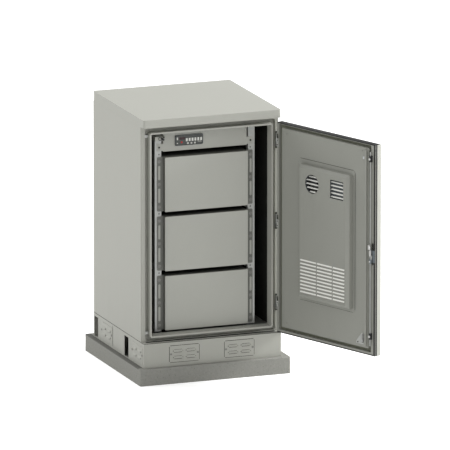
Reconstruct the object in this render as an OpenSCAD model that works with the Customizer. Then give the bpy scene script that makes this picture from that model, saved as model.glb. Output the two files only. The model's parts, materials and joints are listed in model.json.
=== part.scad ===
// Roadside utility cabinet: sheet steel housing on a concrete slab, with one
// insulated door, a 19 inch rack and a lock that drives two rods.
// Millimetres, +Z up, +X right, the front faces -Y. Z = 0 is the slab's underside.

/* [Cabinet] */
// Width of the cabinet
cab_w = 700; // [600:5:840]
// Depth of the cabinet, door included
cab_d = 700; // [600:5:840]
// Height of the plinth
plinth_h = 120; // [100:5:180]
// Height of the body between plinth and roof
body_h = 1045; // [1040:5:1255]
// Height of the roof cap
roof_h = 47; // [39:1:70]
// Thickness of the housing's sheet
sheet = 2; // [1.5:0.1:2.4]
// Radius of the roof's upright corners
roof_corner_r = 10; // [5:1:14]

/* [Slab] */
// How far the slab reaches past each side of the cabinet, before it is shifted
slab_margin_x = 34; // [16:1:80]
// How far the slab reaches past the cabinet's front and back, before it is shifted
slab_margin_y = 40; // [21:1:80]
// Height of the concrete slab
slab_h = 82; // [70:1:140]
// Slab's centre to the right of the cabinet's centre
slab_dx = 8; // [0:1:15]
// Slab's centre behind the cabinet's centre
slab_dy = 17; // [0:1:20]
// Radius of an anchor bolt
anchor_r = 6; // [5:0.5:8]

/* [Door] */
// Thickness of the door
door_t = 36; // [34:1:40]
// Gap between the closed door and the frame's flat
door_gap = 4; // [3.5:0.1:4.5]
// Reveal between the door's free edge and the cabinet's side
door_reveal_free = 7; // [6:0.5:9]
// Reveal between the door's hinged edge and the cabinet's side
door_reveal_hinge = 12; // [12:0.5:14]
// Angle at which the door stands open
door_open = 112.5; // [0:0.5:120]
// Radius of a hinge pin
hinge_pin_r = 3; // [2.5:0.1:3.5]
// Length of one hinge
hinge_len = 66; // [54:1:80]

/* [Rack] */
// Distance between the two columns of rail holes
rack_hole_w = 465.1; // [465.1:0.1:465.1]
// Width of a module's face
module_w = 421.4; // [410:0.1:424]
// Height of a module's face
module_h = 265.8; // [222:0.2:272]
// Depth of a module behind its face
module_d = 410; // [340:1:430]
// Distance from one module to the next
module_pitch = 290.4; // [285:0.2:295]
// Distance between neighbouring rail holes
rail_pitch = 22.22; // [20:0.01:24]
// Distance that a module's face stands out from its ears
face_proud = 23; // [15:0.5:23]
// Radius of a rack screw
rack_screw_r = 3; // [2.5:0.1:3.2]

/* [Duct] */
// Width of the air duct on the door
duct_w = 344; // [290:1:380]
// Height of the air duct on the door
duct_h = 652; // [545:1:780]
// Depth of the air duct on the door
duct_d = 36; // [34:1:37]
// Radius of the round grille
fan_grille_r = 46; // [40:1:50]

/* [Lock] */
// Radius at which the cam's pins run
cam_pin_reach = 5; // [4:0.1:5]
// Thickness of a rod
rod_t = 3; // [2.5:0.1:3.5]
// Width of a rod
rod_w = 6; // [5:0.1:6]

/* [Hidden] */
$fn = 48;

// Levels
z_plinth = slab_h;
z_body = z_plinth + plinth_h;
z_roof = z_body + body_h;
z_top = z_roof + roof_h;
x_side = cab_w / 2;
y_front = -cab_d / 2;
y_rear = cab_d / 2;
fit = 0.05;
seat = 0.02;
play = 0.3;
tiny = 1;

// Front frame: flat, gutter and sealing lip, outside to inside
y_door_in = y_front + door_t;
y_frame = y_door_in + door_gap;
gutter_w = 18;
gutter_d = 22;
y_gutter = y_frame + gutter_d;
lip_w = 8;
lip_reach = 16;
y_lip = y_door_in - lip_reach;
flat_left = 22;
flat_right = 16;
lip_l = -x_side + flat_left + gutter_w;
lip_r = x_side - flat_right - gutter_w;
lip_b = z_body + 21;
lip_t = z_roof - 21;
lip_corner_r = 12;
lip_return = 16;
y_inside = y_gutter + lip_return + sheet;

// Closed door
door_l = -x_side + door_reveal_free;
door_r = x_side - door_reveal_hinge;
door_b = z_body + 2;
door_t_z = z_roof - 13;
pivot_x = x_side - 5;
pivot_y = y_front + 16;
barrel_r = hinge_pin_r + 3;
pan_d = 24;
seal_inset = 0.5;
chan_free = 4;
chan_wall = 1.5;
chan_hinge = 9;
chan_end = 2.5;
chan_in = 5;
chan_l = lip_l - chan_free;
chan_r = lip_r + chan_hinge;
chan_b = lip_b - chan_free;
chan_t = lip_t + chan_end;
chan_il = lip_l + lip_w + chan_in;
chan_ir = lip_r - lip_w - chan_in;
chan_ib = lip_b + lip_w + chan_in;
chan_it = lip_t - lip_w - chan_in;
y_chan = y_lip - 10;
liner_t = 2;
ridge_w = 13;
ridge_d = 10;
liner_l = chan_il + 8;
liner_r = chan_ir - 14;
liner_b = chan_ib + 2;
liner_top = chan_it - 2;

// Rack
rack_y = y_front + 107;
ear_t = 2;
y_face = rack_y - ear_t - face_proud;
module_top = z_roof - 161.6;
module_z = [for (i = [0:2]) module_top - module_h / 2 - i * module_pitch];
module_steps = 5;
rail_w = 33;
rail_d = 30;
rail_in = rack_hole_w / 2 - 11.5;
rail_out = rail_in + rail_w;
rail_hole_r = rack_screw_r + 0.5;
bar_h = 26;
floor_z = z_body + sheet;
floor_top = floor_z + sheet;
ceiling_z = z_roof - 2 * sheet;
y_rear_rail = rack_y + module_d + 10;

// Controller
ctl_b = module_top + 25;
ctl_h = 89;
ctl_w = 426;
bezel_l = -152;
bezel_w = 140;
bezel_b = ctl_b + 25;
bezel_h = 49;
bezel_t = 4;
key_w = 8;
key_x = [-88, -70, -53];
key_z = bezel_b + 8.5;
lamp_w = 9;
lamp_h = 15;
lamp_pitch = 14.6;
switch_x = -235;
switch_z = z_roof - 62;
plunger_r = 5;

// Duct on the door, closed
duct_x = -192;
duct_z = door_t_z - 168 - duct_h;
y_liner = y_door_in + seat + liner_t;
y_plate = y_liner + seat + sheet;
y_duct = y_plate + duct_d;
duct_sheet = 1.5;
duct_slope = 14;
fan_x = duct_x + duct_w - 98;
fan_z = duct_z + duct_h - 82;
grille_sq = 90;
fan_body = 104;
fan_t = 15;
fan_base_t = 3;
y_fan = y_plate + 5;
fan_r = fan_grille_r;
rotor_r = fan_r - 2;
hub_r = 18;
fan_blades = 7;
axle_r = 3;

// Lock
lock_x = lip_l - gutter_w / 2;
lock_z = z_body + 488;
y_cam = y_frame;
cam_t = 3;
cam_r = 7.5;
cam_pin_r = 1.2;
y_rod = y_cam + cam_t + play;
rod_bar_l = lock_x - 1;
upper_end = door_t_z - 35;
lower_end = door_b + 49;
spindle_r = 3;
keep_h = 14;

module box(x0, x1, y0, y1, z0, z1) {
    translate([x0, y0, z0]) cube([x1 - x0, y1 - y0, z1 - z0]);
}

// Rectangle with round corners, made of squares and circles
module rrect(x0, x1, y0, y1, r) {
    translate([x0 + r, y0]) square([x1 - x0 - 2 * r, y1 - y0]);
    translate([x0, y0 + r]) square([x1 - x0, y1 - y0 - 2 * r]);
    for (x = [x0 + r, x1 - r], y = [y0 + r, y1 - r])
        translate([x, y]) circle(r);
}

// A 2D shape in X and Z, extruded from y0 to y1
module along_y(y0, y1) {
    rotate([90, 0, 0]) translate([0, 0, -y1]) linear_extrude(y1 - y0) children();
}

// A 2D shape in Y and Z, extruded from x0 to x1
module along_x(x0, x1) {
    rotate([90, 0, 90]) translate([0, 0, x0]) linear_extrude(x1 - x0) children();
}

// A 2D shape in X and Y, extruded from z0 to z1
module along_z(z0, z1) {
    translate([0, 0, z0]) linear_extrude(z1 - z0) children();
}

module cyl_y(x, z, y0, y1, r) {
    translate([x, y1, z]) rotate([90, 0, 0]) cylinder(r = r, h = y1 - y0);
}

module cyl_x(y, z, x0, x1, r) {
    translate([x0, y, z]) rotate([0, 90, 0]) cylinder(r = r, h = x1 - x0);
}

// Ring between two rectangles [x0, x1, z0, z1], with corner radii
module ring(y0, y1, out, in, r_out, r_in) {
    along_y(y0, y1) difference() {
        rrect(out[0], out[1], out[2], out[3], r_out);
        rrect(in[0], in[1], in[2], in[3], r_in);
    }
}

function grow(b, d) = [b[0] - d, b[1] + d, b[2] - d, b[3] + d];

lip_out = [lip_l, lip_r, lip_b, lip_t];
lip_in = grow(lip_out, -lip_w);
gutter_out = grow(lip_out, gutter_w);
frame_out = [-x_side + sheet, x_side - sheet, z_body, z_roof];
door_out = [door_l, door_r, door_b, door_t_z];
chan_out = [chan_l, chan_r, chan_b, chan_t];
chan_inner = [chan_il, chan_ir, chan_ib, chan_it];

// Hinged parts: drawn closed, shown at the angle at which the door stands open
module on_door() {
    translate([pivot_x, pivot_y, 0]) rotate([0, 0, door_open])
        translate([-pivot_x, -pivot_y, 0]) children();
}

/* Slab and plinth */
slab_w = cab_w + 2 * slab_margin_x;
slab_d = cab_d + 2 * slab_margin_y;
slab_l = slab_dx - slab_w / 2;
slab_f = slab_dy - slab_d / 2;
slab_r = 10;
slab_edge_r = 5;
gland_w = 380;
gland_d = 220;
gland_y = 170;
duct_cut_w = 340;
duct_cut_d = 220;
anchor_in = 40;
anchor_deep = 55;
foot_w = 60;
plinth_flange = 20;
anchors = [for (x = [-1, 1], y = [-1, 1]) [x * (x_side - anchor_in), y * (y_rear - anchor_in)]];

module concrete_base() {
    color("#b9b7b0") difference() {
        intersection() {
            along_z(0, slab_h) rrect(slab_l, slab_l + slab_w, slab_f, slab_f + slab_d, slab_r);
            along_x(slab_l, slab_l + slab_w)
                rrect(slab_f, slab_f + slab_d, -slab_h, slab_h, slab_edge_r);
            along_y(slab_f, slab_f + slab_d)
                rrect(slab_l, slab_l + slab_w, -slab_h, slab_h, slab_edge_r);
        }
        box(-duct_cut_w / 2, duct_cut_w / 2, gland_y - duct_cut_d / 2, gland_y + duct_cut_d / 2,
            -tiny, slab_h + tiny);
        for (a = anchors)
            translate([a[0], a[1], slab_h - anchor_deep - fit])
                cylinder(r = anchor_r + fit, h = anchor_deep + tiny + fit);
    }
}

module anchor_bolts() {
    color("#8f9294") for (a = anchors) translate([a[0], a[1], slab_h]) {
        translate([0, 0, -anchor_deep]) cylinder(r = anchor_r, h = anchor_deep + sheet + 22);
        difference() {
            translate([0, 0, sheet]) cylinder(r = anchor_r * 2, h = 2);
            cylinder(r = anchor_r - tiny, h = 30);
        }
        translate([0, 0, sheet + 2]) cylinder(r = anchor_r * 1.75, h = 10, $fn = 6);
    }
}

vent_w = 150;
vent_h = 80;
vent_z = z_plinth + 19;
vent_t = 1.5;
vent_x = [-219, 61];
louvre_w = 45;
louvre_h = 9;
vent_hole_in = 14;
cover_screw_r = 2.5;
cover_screw_in = 7;
vent_y = [-335, 92];
side_slots = [[-136, -79], [288, 342]];

// Flat panel of the plinth with folds at its top and bottom, drawn along X
module plinth_panel(length, vents) {
    difference() {
        box(-length / 2, length / 2, 0, sheet, z_plinth, z_body);
        for (x = vents) {
            box(x + vent_hole_in, x + vent_w - vent_hole_in, -tiny, sheet + tiny,
                vent_z + 10, vent_z + vent_h - 10);
            for (s = [cover_screw_in, vent_w - cover_screw_in])
                cyl_y(x + s, vent_z + vent_h / 2, -tiny, sheet + tiny, cover_screw_r + fit);
        }
    }
    box(sheet - length / 2, length / 2 - sheet, sheet, plinth_flange, z_body - sheet, z_body);
}

// Feet at both ends of a plinth panel, with the anchor holes
module plinth_foot(length, depth) {
    difference() {
        union() for (s = [-1, 1])
            box(s < 0 ? -length / 2 : length / 2 - foot_w, s < 0 ? foot_w - length / 2 : length / 2,
                sheet, depth, z_plinth, z_plinth + sheet);
        for (s = [-1, 1])
            translate([s * (x_side - anchor_in), anchor_in, z_plinth - tiny])
                cylinder(r = anchor_r + fit, h = sheet + 2 * tiny);
    }
    box(foot_w - length / 2, length / 2 - foot_w, sheet, plinth_flange,
        z_plinth, z_plinth + sheet);
}

module plinth_front_panel() {
    color("#b4b3ad") translate([0, y_front, 0]) {
        plinth_panel(cab_w, vent_x);
        plinth_foot(cab_w - 2 * sheet, 70);
    }
}

module plinth_rear_panel() {
    color("#b4b3ad") mirror([0, 1, 0]) translate([0, y_front, 0]) {
        plinth_panel(cab_w, []);
        plinth_foot(cab_w - 2 * sheet, 70);
    }
}

module plinth_side() {
    side_l = cab_d - 2 * sheet;
    difference() {
        translate([-x_side, 0, 0]) rotate([0, 0, -90]) {
            plinth_panel(side_l, [for (y = vent_y) -y - vent_w]);
        }
        for (s = side_slots)
            box(-x_side - tiny, -x_side + sheet + tiny, s[0], s[1], z_plinth + 4, z_body - 17);
        for (s = [-1, 1])
            box(-x_side + sheet, -x_side + sheet + 30, s < 0 ? y_front : y_rear - 22,
                s < 0 ? y_front + 22 : y_rear, z_body - 2 * sheet, z_body + tiny);
    }
}

module plinth_left_panel() {
    color("#b4b3ad") plinth_side();
}

module plinth_right_panel() {
    color("#b4b3ad") mirror([1, 0, 0]) plinth_side();
}

// Cover plate with louvres, drawn on the plane Y = 0, its back towards +Y
module vent_cover(x0) {
    col_gap = (vent_w - 2 * louvre_w) / 3;
    difference() {
        along_y(-vent_t, 0) rrect(x0, x0 + vent_w, vent_z, vent_z + vent_h, 4);
        for (c = [0, 1], k = [0, 1])
            box(x0 + col_gap + c * (louvre_w + col_gap), x0 + (c + 1) * (louvre_w + col_gap),
                -vent_t - tiny, tiny, vent_z + 18 + k * 32, vent_z + 18 + k * 32 + louvre_h);
        for (s = [cover_screw_in, vent_w - cover_screw_in])
            cyl_y(x0 + s, vent_z + vent_h / 2, -vent_t - tiny, tiny, cover_screw_r + fit);
    }
    for (c = [0, 1], k = [0, 1]) {
        zl = vent_z + 18 + k * 32;
        along_x(x0 + col_gap + c * (louvre_w + col_gap), x0 + (c + 1) * (louvre_w + col_gap))
            polygon([[-vent_t, zl + louvre_h + 3], [-vent_t, zl + louvre_h],
                [-vent_t - 4, zl + 1], [-vent_t - 5.5, zl + 1]]);
    }
}

module front_vent_covers() {
    color("#bbbab4") translate([0, y_front, 0]) for (x = vent_x) vent_cover(x);
}

module side_vents() {
    translate([-x_side, 0, 0]) rotate([0, 0, -90]) for (y = vent_y) vent_cover(-y - vent_w);
}

module side_vent_covers() {
    color("#bbbab4") {
        side_vents();
        mirror([1, 0, 0]) side_vents();
    }
}

// Screw through a cover and its panel, head towards -Y
module cover_screw(x) {
    cyl_y(x, vent_z + vent_h / 2, -vent_t - 2, -vent_t, 5);
    cyl_y(x, vent_z + vent_h / 2, -vent_t - tiny, sheet + 4, cover_screw_r);
}

module cover_screw_pair(x) {
    for (s = [cover_screw_in, vent_w - cover_screw_in]) cover_screw(x + s);
}

module plinth_screws() {
    color("#8f9294") {
        translate([0, y_front, 0]) for (x = vent_x) cover_screw_pair(x);
        for (m = [0, 1]) mirror([m, 0, 0]) translate([-x_side, 0, 0]) rotate([0, 0, -90])
            for (y = vent_y) cover_screw_pair(-y - vent_w);
    }
}

/* Body */
corner_fold = 18;

module side_panel() {
    box(-x_side, -x_side + sheet, y_frame, y_rear, z_body, z_roof);
    box(-x_side + sheet, -x_side + corner_fold, y_rear - sheet, y_rear, z_body, z_roof);
}

module left_side_panel() {
    color("#b8b7b1") side_panel();
}

module right_side_panel() {
    color("#b8b7b1") mirror([1, 0, 0]) side_panel();
}

module rear_panel() {
    color("#b4b3ad") {
        box(-x_side + corner_fold, x_side - corner_fold, y_rear - sheet, y_rear, z_body, z_roof);
        for (z = [z_body + body_h / 3, z_body + body_h * 2 / 3])
            box(-x_side + 60, x_side - 60, y_rear - sheet - 12, y_rear - sheet, z - 20, z + 20);
    }
}

module door_frame() {
    color("#b8b7b1") {
        ring(y_frame, y_frame + sheet, frame_out, gutter_out, 0.5, lip_corner_r);
        ring(y_frame, y_gutter, grow(gutter_out, sheet), gutter_out, lip_corner_r + sheet,
            lip_corner_r);
        ring(y_gutter, y_gutter + sheet, grow(gutter_out, sheet), grow(lip_out, -sheet),
            lip_corner_r + sheet, lip_corner_r);
        ring(y_lip, y_gutter + sheet, lip_out, grow(lip_out, -sheet), lip_corner_r,
            lip_corner_r - sheet);
        ring(y_lip, y_lip + sheet, lip_out, lip_in, lip_corner_r, lip_corner_r - lip_w);
        ring(y_lip, y_inside - sheet, grow(lip_in, sheet), lip_in, lip_corner_r - lip_w + sheet,
            lip_corner_r - lip_w);
    }
}

gland_r = 16;

module floor_pan() {
    color("#a9a8a2") difference() {
        union() {
            box(-x_side + sheet, x_side - sheet, y_inside + 1, y_rear - sheet, floor_z, floor_top);
            box(-x_side + sheet, x_side - sheet, y_inside + 1, y_inside + 1 + sheet, z_body, floor_z);
            box(-x_side + sheet, x_side - sheet, y_rear - 2 * sheet, y_rear - sheet, z_body, floor_z);
        }
        box(-gland_w / 2 + 20, gland_w / 2 - 20, gland_y - gland_d / 2 + 20,
            gland_y + gland_d / 2 - 20, z_body - tiny, floor_top + tiny);
    }
}

module gland_plate() {
    color("#9fa1a0") difference() {
        box(-gland_w / 2, gland_w / 2, gland_y - gland_d / 2, gland_y + gland_d / 2,
            floor_top, floor_top + sheet);
        for (i = [0:4], j = [0, 1])
            translate([(i - 2) * 62, gland_y + (j - 0.5) * 80, floor_top - tiny])
                cylinder(r = gland_r, h = 3 * sheet);
    }
}

roof_screw_r = 4;
roof_screw_at = [for (x = [-1, 1], y = [y_inside + 36, y_rear - 50]) [x * (x_side - 50), y]];

module ceiling_panel() {
    color("#a9a8a2") difference() {
        union() {
            box(-x_side + sheet, x_side - sheet, y_inside + 1, y_rear - sheet,
                ceiling_z, ceiling_z + sheet);
            box(-x_side + sheet, x_side - sheet, y_inside + 1, y_inside + 1 + sheet,
                ceiling_z + sheet, z_roof);
            box(-x_side + sheet, x_side - sheet, y_rear - 2 * sheet, y_rear - sheet,
                ceiling_z + sheet, z_roof);
        }
        for (p = roof_screw_at)
            translate([p[0], p[1], ceiling_z - tiny])
                cylinder(r = roof_screw_r + fit, h = sheet + 2 * tiny);
    }
}

fascia_gap = 8;

module roof_cap() {
    color("#bab9b3") {
        difference() {
            along_z(z_roof, z_top) rrect(-x_side, x_side, y_front, y_rear, roof_corner_r);
            along_z(z_roof - tiny, z_top - sheet)
                rrect(-x_side + sheet, x_side - sheet, y_front + sheet, y_rear - sheet,
                    roof_corner_r - sheet);
            box(-x_side - tiny, x_side + tiny, y_front - tiny, y_frame, z_roof - tiny,
                z_roof + fascia_gap);
        }
        box(-x_side + sheet, x_side - sheet, y_front + roof_corner_r, y_frame + sheet,
            z_roof + fascia_gap, z_roof + fascia_gap + sheet);
        box(-x_side + sheet, x_side - sheet, y_frame, y_frame + sheet, z_roof,
            z_roof + fascia_gap);
        for (p = roof_screw_at) translate([p[0], p[1], z_roof - sheet]) difference() {
            cylinder(r = 9, h = roof_h);
            translate([0, 0, -tiny]) cylinder(r = roof_screw_r + fit, h = roof_h - 12);
        }
    }
}

module roof_screws() {
    color("#8f9294") for (p = roof_screw_at) translate([p[0], p[1], 0]) {
        translate([0, 0, ceiling_z - 5]) cylinder(r = 7, h = 5, $fn = 6);
        translate([0, 0, ceiling_z - tiny]) cylinder(r = roof_screw_r, h = 28);
    }
}

/* Rack */
rail_z0 = floor_top + bar_h;
rail_z1 = ceiling_z - bar_h;
rail_holes = concat(
    [for (m = module_z, k = [-module_steps:module_steps]) m + k * rail_pitch],
    [for (i = [0:2]) module_z[i] + module_pitch / 2]);

// Front rail on the right, a channel with a row of holes
module front_rail() {
    difference() {
        union() {
            box(rail_in, rail_out, rack_y, rack_y + sheet, rail_z0, rail_z1);
            box(rail_in, rail_in + sheet, rack_y, rack_y + rail_d, rail_z0, rail_z1);
            box(rail_out - sheet, rail_out, rack_y, rack_y + rail_d, rail_z0, rail_z1);
        }
        for (z = rail_holes)
            cyl_y(rack_hole_w / 2, z, rack_y - tiny, rack_y + sheet + tiny, rail_hole_r);
    }
}

module front_rail_left() {
    color("#c9cbcc") mirror([1, 0, 0]) front_rail();
}

module front_rail_right() {
    color("#c9cbcc") front_rail();
}

module rear_rails() {
    color("#c9cbcc") for (m = [0, 1]) mirror([m, 0, 0]) {
        box(rail_in, rail_out, y_rear_rail + rail_d - sheet, y_rear_rail + rail_d, rail_z0, rail_z1);
        box(rail_in, rail_in + sheet, y_rear_rail, y_rear_rail + rail_d, rail_z0, rail_z1);
    }
}

module rail_cross_members() {
    color("#c2c4c4") for (m = [0, 1], z = [floor_top, rail_z1]) mirror([m, 0, 0])
        difference() {
            box(rail_in, rail_out, rack_y, y_rear_rail + rail_d, z, z + bar_h);
            box(rail_in + sheet, rail_out - sheet, rack_y - tiny, y_rear_rail + rail_d + tiny,
                z + sheet, z + bar_h - sheet);
        }
}

module module_support_angles() {
    color("#aeb0b0") for (m = [0, 1], z = module_z) mirror([m, 0, 0]) {
        zb = z - module_h / 2;
        box(rail_in - sheet, rail_in, rack_y + 6, y_rear_rail + rail_d, zb - 22, zb + 8);
        box(rail_in - 30, rail_in - sheet, rack_y + 6, y_rear_rail + rail_d, zb - sheet, zb);
    }
}

ear_out = rack_hole_w / 2 + 11;
module_sheet = 1.5;

// One plug-in unit: a closed sheet case with a raised face and two ears
module rack_module(z) {
    difference() {
        union() {
            along_y(y_face, rack_y + 6) rrect(-module_w / 2, module_w / 2, z - module_h / 2,
                z + module_h / 2, 4);
            box(-module_w / 2, module_w / 2, rack_y + 6, y_face + module_d, z - module_h / 2,
                z + module_h / 2);
            along_y(rack_y - ear_t, rack_y) rrect(-ear_out, ear_out, z - module_h / 2,
                z + module_h / 2, 6);
        }
        box(-module_w / 2 + module_sheet, module_w / 2 - module_sheet, y_face + module_sheet,
            y_face + module_d - module_sheet, z - module_h / 2 + module_sheet,
            z + module_h / 2 - module_sheet);
        for (k = [-1:1], s = [-1, 1])
            cyl_y(s * rack_hole_w / 2, z + k * module_steps * rail_pitch, rack_y - ear_t - tiny,
                rack_y + tiny, rack_screw_r + 0.4);
    }
}

module upper_module() {
    color("#b5b6b3") rack_module(module_z[0]);
}

module middle_module() {
    color("#b5b6b3") rack_module(module_z[1]);
}

module lower_module() {
    color("#b5b6b3") rack_module(module_z[2]);
}

module module_screws() {
    color("#d8d9da") for (z = module_z, k = [-1:1], s = [-1, 1])
        translate([s * rack_hole_w / 2, 0, z + k * module_steps * rail_pitch]) {
            cyl_y(0, 0, rack_y - ear_t - 3, rack_y - ear_t, rack_screw_r + 2.5);
            cyl_y(0, 0, rack_y - ear_t - tiny, rack_y + sheet + 9, rack_screw_r);
        }
}

y_ctl = rack_y - ear_t;
ctl_depth = 120;

module controller_housing() {
    color("#c6c7c4") difference() {
        union() {
            box(-ctl_w / 2, ctl_w / 2, y_ctl, rack_y, ctl_b, ctl_b + ctl_h);
            box(-module_w / 2, module_w / 2, rack_y, rack_y + ctl_depth, ctl_b + 2,
                ctl_b + ctl_h - 2);
            box(-ear_out, ear_out, y_ctl, rack_y, ctl_b + 4, ctl_b + 40);
        }
        box(-module_w / 2 + module_sheet, module_w / 2 - module_sheet, rack_y,
            rack_y + ctl_depth - module_sheet, ctl_b + 2 + module_sheet,
            ctl_b + ctl_h - 2 - module_sheet);
        box(bezel_l + 4, bezel_l + bezel_w - 4, y_ctl - tiny, rack_y + tiny, bezel_b + 4,
            bezel_b + bezel_h - 4);
        for (s = [-1, 1])
            cyl_y(s * rack_hole_w / 2, ctl_b + 22, y_ctl - tiny, rack_y + tiny, rack_screw_r + 0.4);
    }
}

display_w = 30;
display_h = 11;
display_x = bezel_l + 21;
display_z = bezel_b + 28;
lamp_x = [for (i = [0:5]) bezel_l + 54 + i * lamp_pitch];
lamp_z = bezel_b + 18;

module display_bezel() {
    color("#3b3d40") difference() {
        along_y(y_ctl - bezel_t, y_ctl)
            rrect(bezel_l, bezel_l + bezel_w, bezel_b, bezel_b + bezel_h, 2);
        box(display_x - fit, display_x + display_w + fit, y_ctl - bezel_t - tiny,
            y_ctl + tiny, display_z - fit, display_z + display_h + fit);
        for (x = lamp_x)
            box(x - fit, x + lamp_w + fit, y_ctl - bezel_t - tiny, y_ctl + tiny,
                lamp_z - fit, lamp_z + lamp_h + fit);
        for (x = key_x)
            box(x - key_w / 2 - play, x + key_w / 2 + play, y_ctl - bezel_t - tiny,
                y_ctl + tiny, key_z - key_w / 2 - play, key_z + key_w / 2 + play);
    }
}

module red_display() {
    color("#c81e1e") box(display_x, display_x + display_w, y_ctl - bezel_t + 0.6, y_ctl,
        display_z, display_z + display_h);
}

module indicator_lamps() {
    color("#f2f2ee") for (x = lamp_x)
        box(x, x + lamp_w, y_ctl - bezel_t - 1, y_ctl, lamp_z, lamp_z + lamp_h);
}

// Key with a collar behind the bezel
module push_key(x) {
    color("#dcdcd8") {
        box(x - key_w / 2, x + key_w / 2, y_ctl - bezel_t - 2.5, y_ctl + 1,
            key_z - key_w / 2, key_z + key_w / 2);
        box(x - key_w / 2 - 2, x + key_w / 2 + 2, y_ctl + play, y_ctl + 2,
            key_z - key_w / 2 + 1, key_z + key_w / 2 + 2);
    }
}

module menu_button() {
    push_key(key_x[0]);
}

module down_button() {
    push_key(key_x[1]);
}

module up_button() {
    push_key(key_x[2]);
}

switch_w = 48;
switch_h = 20;
switch_l = switch_x - 33;

module door_switch_body() {
    color("#2f3234") difference() {
        union() {
            box(switch_l, switch_l + switch_w, rack_y - 45, rack_y - 4, switch_z - switch_h / 2,
                switch_z + switch_h / 2);
            box(-rail_out, -rail_in, rack_y - 4, rack_y, switch_z - switch_h / 2,
                switch_z + switch_h / 2);
        }
        cyl_y(switch_x, switch_z, rack_y - 46, rack_y - 20, plunger_r + fit);
    }
}

module switch_plunger() {
    color("#17181a") cyl_y(switch_x, switch_z, y_liner + play, rack_y - 28, plunger_r);
}

/* Hinges */
hinge_z = [z_roof - 107, z_body + 540, z_body + 140];
knuckle = (hinge_len - 2 * play) / 3;
hinge_ear = barrel_r - 1;

module hinge_frame_leaves() {
    color("#c4c6c6") for (z = hinge_z) difference() {
        union() {
            for (s = [-1, 1]) translate([pivot_x, pivot_y,
                s < 0 ? z - hinge_len / 2 : z + hinge_len / 2 - knuckle])
                cylinder(r = barrel_r, h = knuckle);
            for (s = [-1, 1]) box(pivot_x - hinge_ear, pivot_x + hinge_ear, pivot_y, y_frame - sheet,
                s < 0 ? z - hinge_len / 2 : z + hinge_len / 2 - knuckle,
                s < 0 ? z - hinge_len / 2 + knuckle : z + hinge_len / 2);
            box(pivot_x - 8, pivot_x + 4, y_frame - sheet, y_frame, z - hinge_len / 2,
                z + hinge_len / 2);
        }
        translate([pivot_x, pivot_y, z - hinge_len / 2 - tiny])
            cylinder(r = hinge_pin_r + fit, h = hinge_len + 2 * tiny);
    }
}

module hinge_pins() {
    color("#d9dadb") for (z = hinge_z) translate([pivot_x, pivot_y, z - hinge_len / 2]) {
        cylinder(r = hinge_pin_r, h = hinge_len + 1);
        translate([0, 0, hinge_len]) cylinder(r = barrel_r - 1, h = 2);
    }
}

module hinge_door_leaves() {
    color("#c4c6c6") on_door() for (z = hinge_z) difference() {
        union() {
            translate([pivot_x, pivot_y, z - knuckle / 2]) cylinder(r = barrel_r, h = knuckle);
            box(door_r + seat, door_r + 3, pivot_y - 12, pivot_y + 6, z - knuckle / 2, z + knuckle / 2);
        }
        translate([pivot_x, pivot_y, z - knuckle])
            cylinder(r = hinge_pin_r + fit, h = 2 * knuckle);
    }
}

/* Door */
pan_in = grow(door_out, -sheet);
inner_flange = 40;
case_h = 60;
case_l = door_l + 3;
case_r = chan_l - chan_wall - play;

module door_skin() {
    color("#b9b8b2") on_door() difference() {
        union() {
            along_y(y_front, y_front + sheet) rrect(door_l, door_r, door_b, door_t_z, 4);
            ring(y_front, y_front + pan_d, door_out, pan_in, 4, 2);
        }
        cyl_y(lock_x, lock_z, y_front - tiny, y_front + sheet + tiny, spindle_r + fit);
    }
}

module door_edge_seal() {
    color("#1b1c1d") on_door() ring(y_front + pan_d + seat, y_door_in - sheet - seat,
        grow(door_out, -seal_inset), pan_in, 4, 2);
}

module door_inner_frame() {
    color("#c3c2bc") on_door() difference() {
        union() {
            ring(y_door_in - sheet, y_door_in, grow(door_out, -seal_inset), chan_out, 4, 6);
            ring(y_chan - sheet, y_door_in, grow(chan_out, chan_wall), chan_out, 7, 6);
            ring(y_chan - sheet, y_chan, chan_out, chan_inner, 6, 6);
            ring(y_chan - sheet, y_door_in, chan_inner, grow(chan_inner, -chan_wall), 6, 4.5);
            ring(y_door_in - sheet, y_door_in, chan_inner, grow(chan_inner, -inner_flange), 6, 4);
        }
        box(case_l - fit, case_r + fit, y_door_in - sheet - tiny, y_door_in + tiny,
            lock_z - case_h / 2 - fit, lock_z + case_h / 2 + fit);
    }
}

module door_gasket() {
    color("#6f7265") on_door() ring(y_chan + seat, y_lip - play,
        grow(chan_out, -seat), grow(chan_inner, seat), 6, 6);
}

module door_liner() {
    color("#c0c1bd") on_door() {
        along_y(y_door_in + seat, y_liner) rrect(liner_l, liner_r, liner_b, liner_top, 6);
        difference() {
            box(liner_l, liner_l + ridge_w, y_liner, y_door_in + ridge_d, liner_b + 8, liner_top - 8);
            box(liner_l + liner_t, liner_l + ridge_w - liner_t, y_liner - tiny,
                y_door_in + ridge_d - liner_t, liner_b + 6, liner_top - 6);
        }
    }
}

duct_r = duct_x + duct_w;
duct_top = duct_z + duct_h;
plate_l = duct_x - 13;
plate_r = duct_r + 33;
plate_b = duct_z - 18;
plate_top = duct_top + 21;

module duct_mount_plate() {
    color("#a3a5a4") on_door() difference() {
        along_y(y_liner + seat, y_plate) rrect(plate_l, plate_r, plate_b, plate_top, 13);
        for (i = [0:2])
            box(plate_r - 26, plate_r - 10, y_liner - tiny, y_plate + tiny,
                plate_top - 78 + i * 17, plate_top - 70 + i * 17);
    }
}

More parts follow.
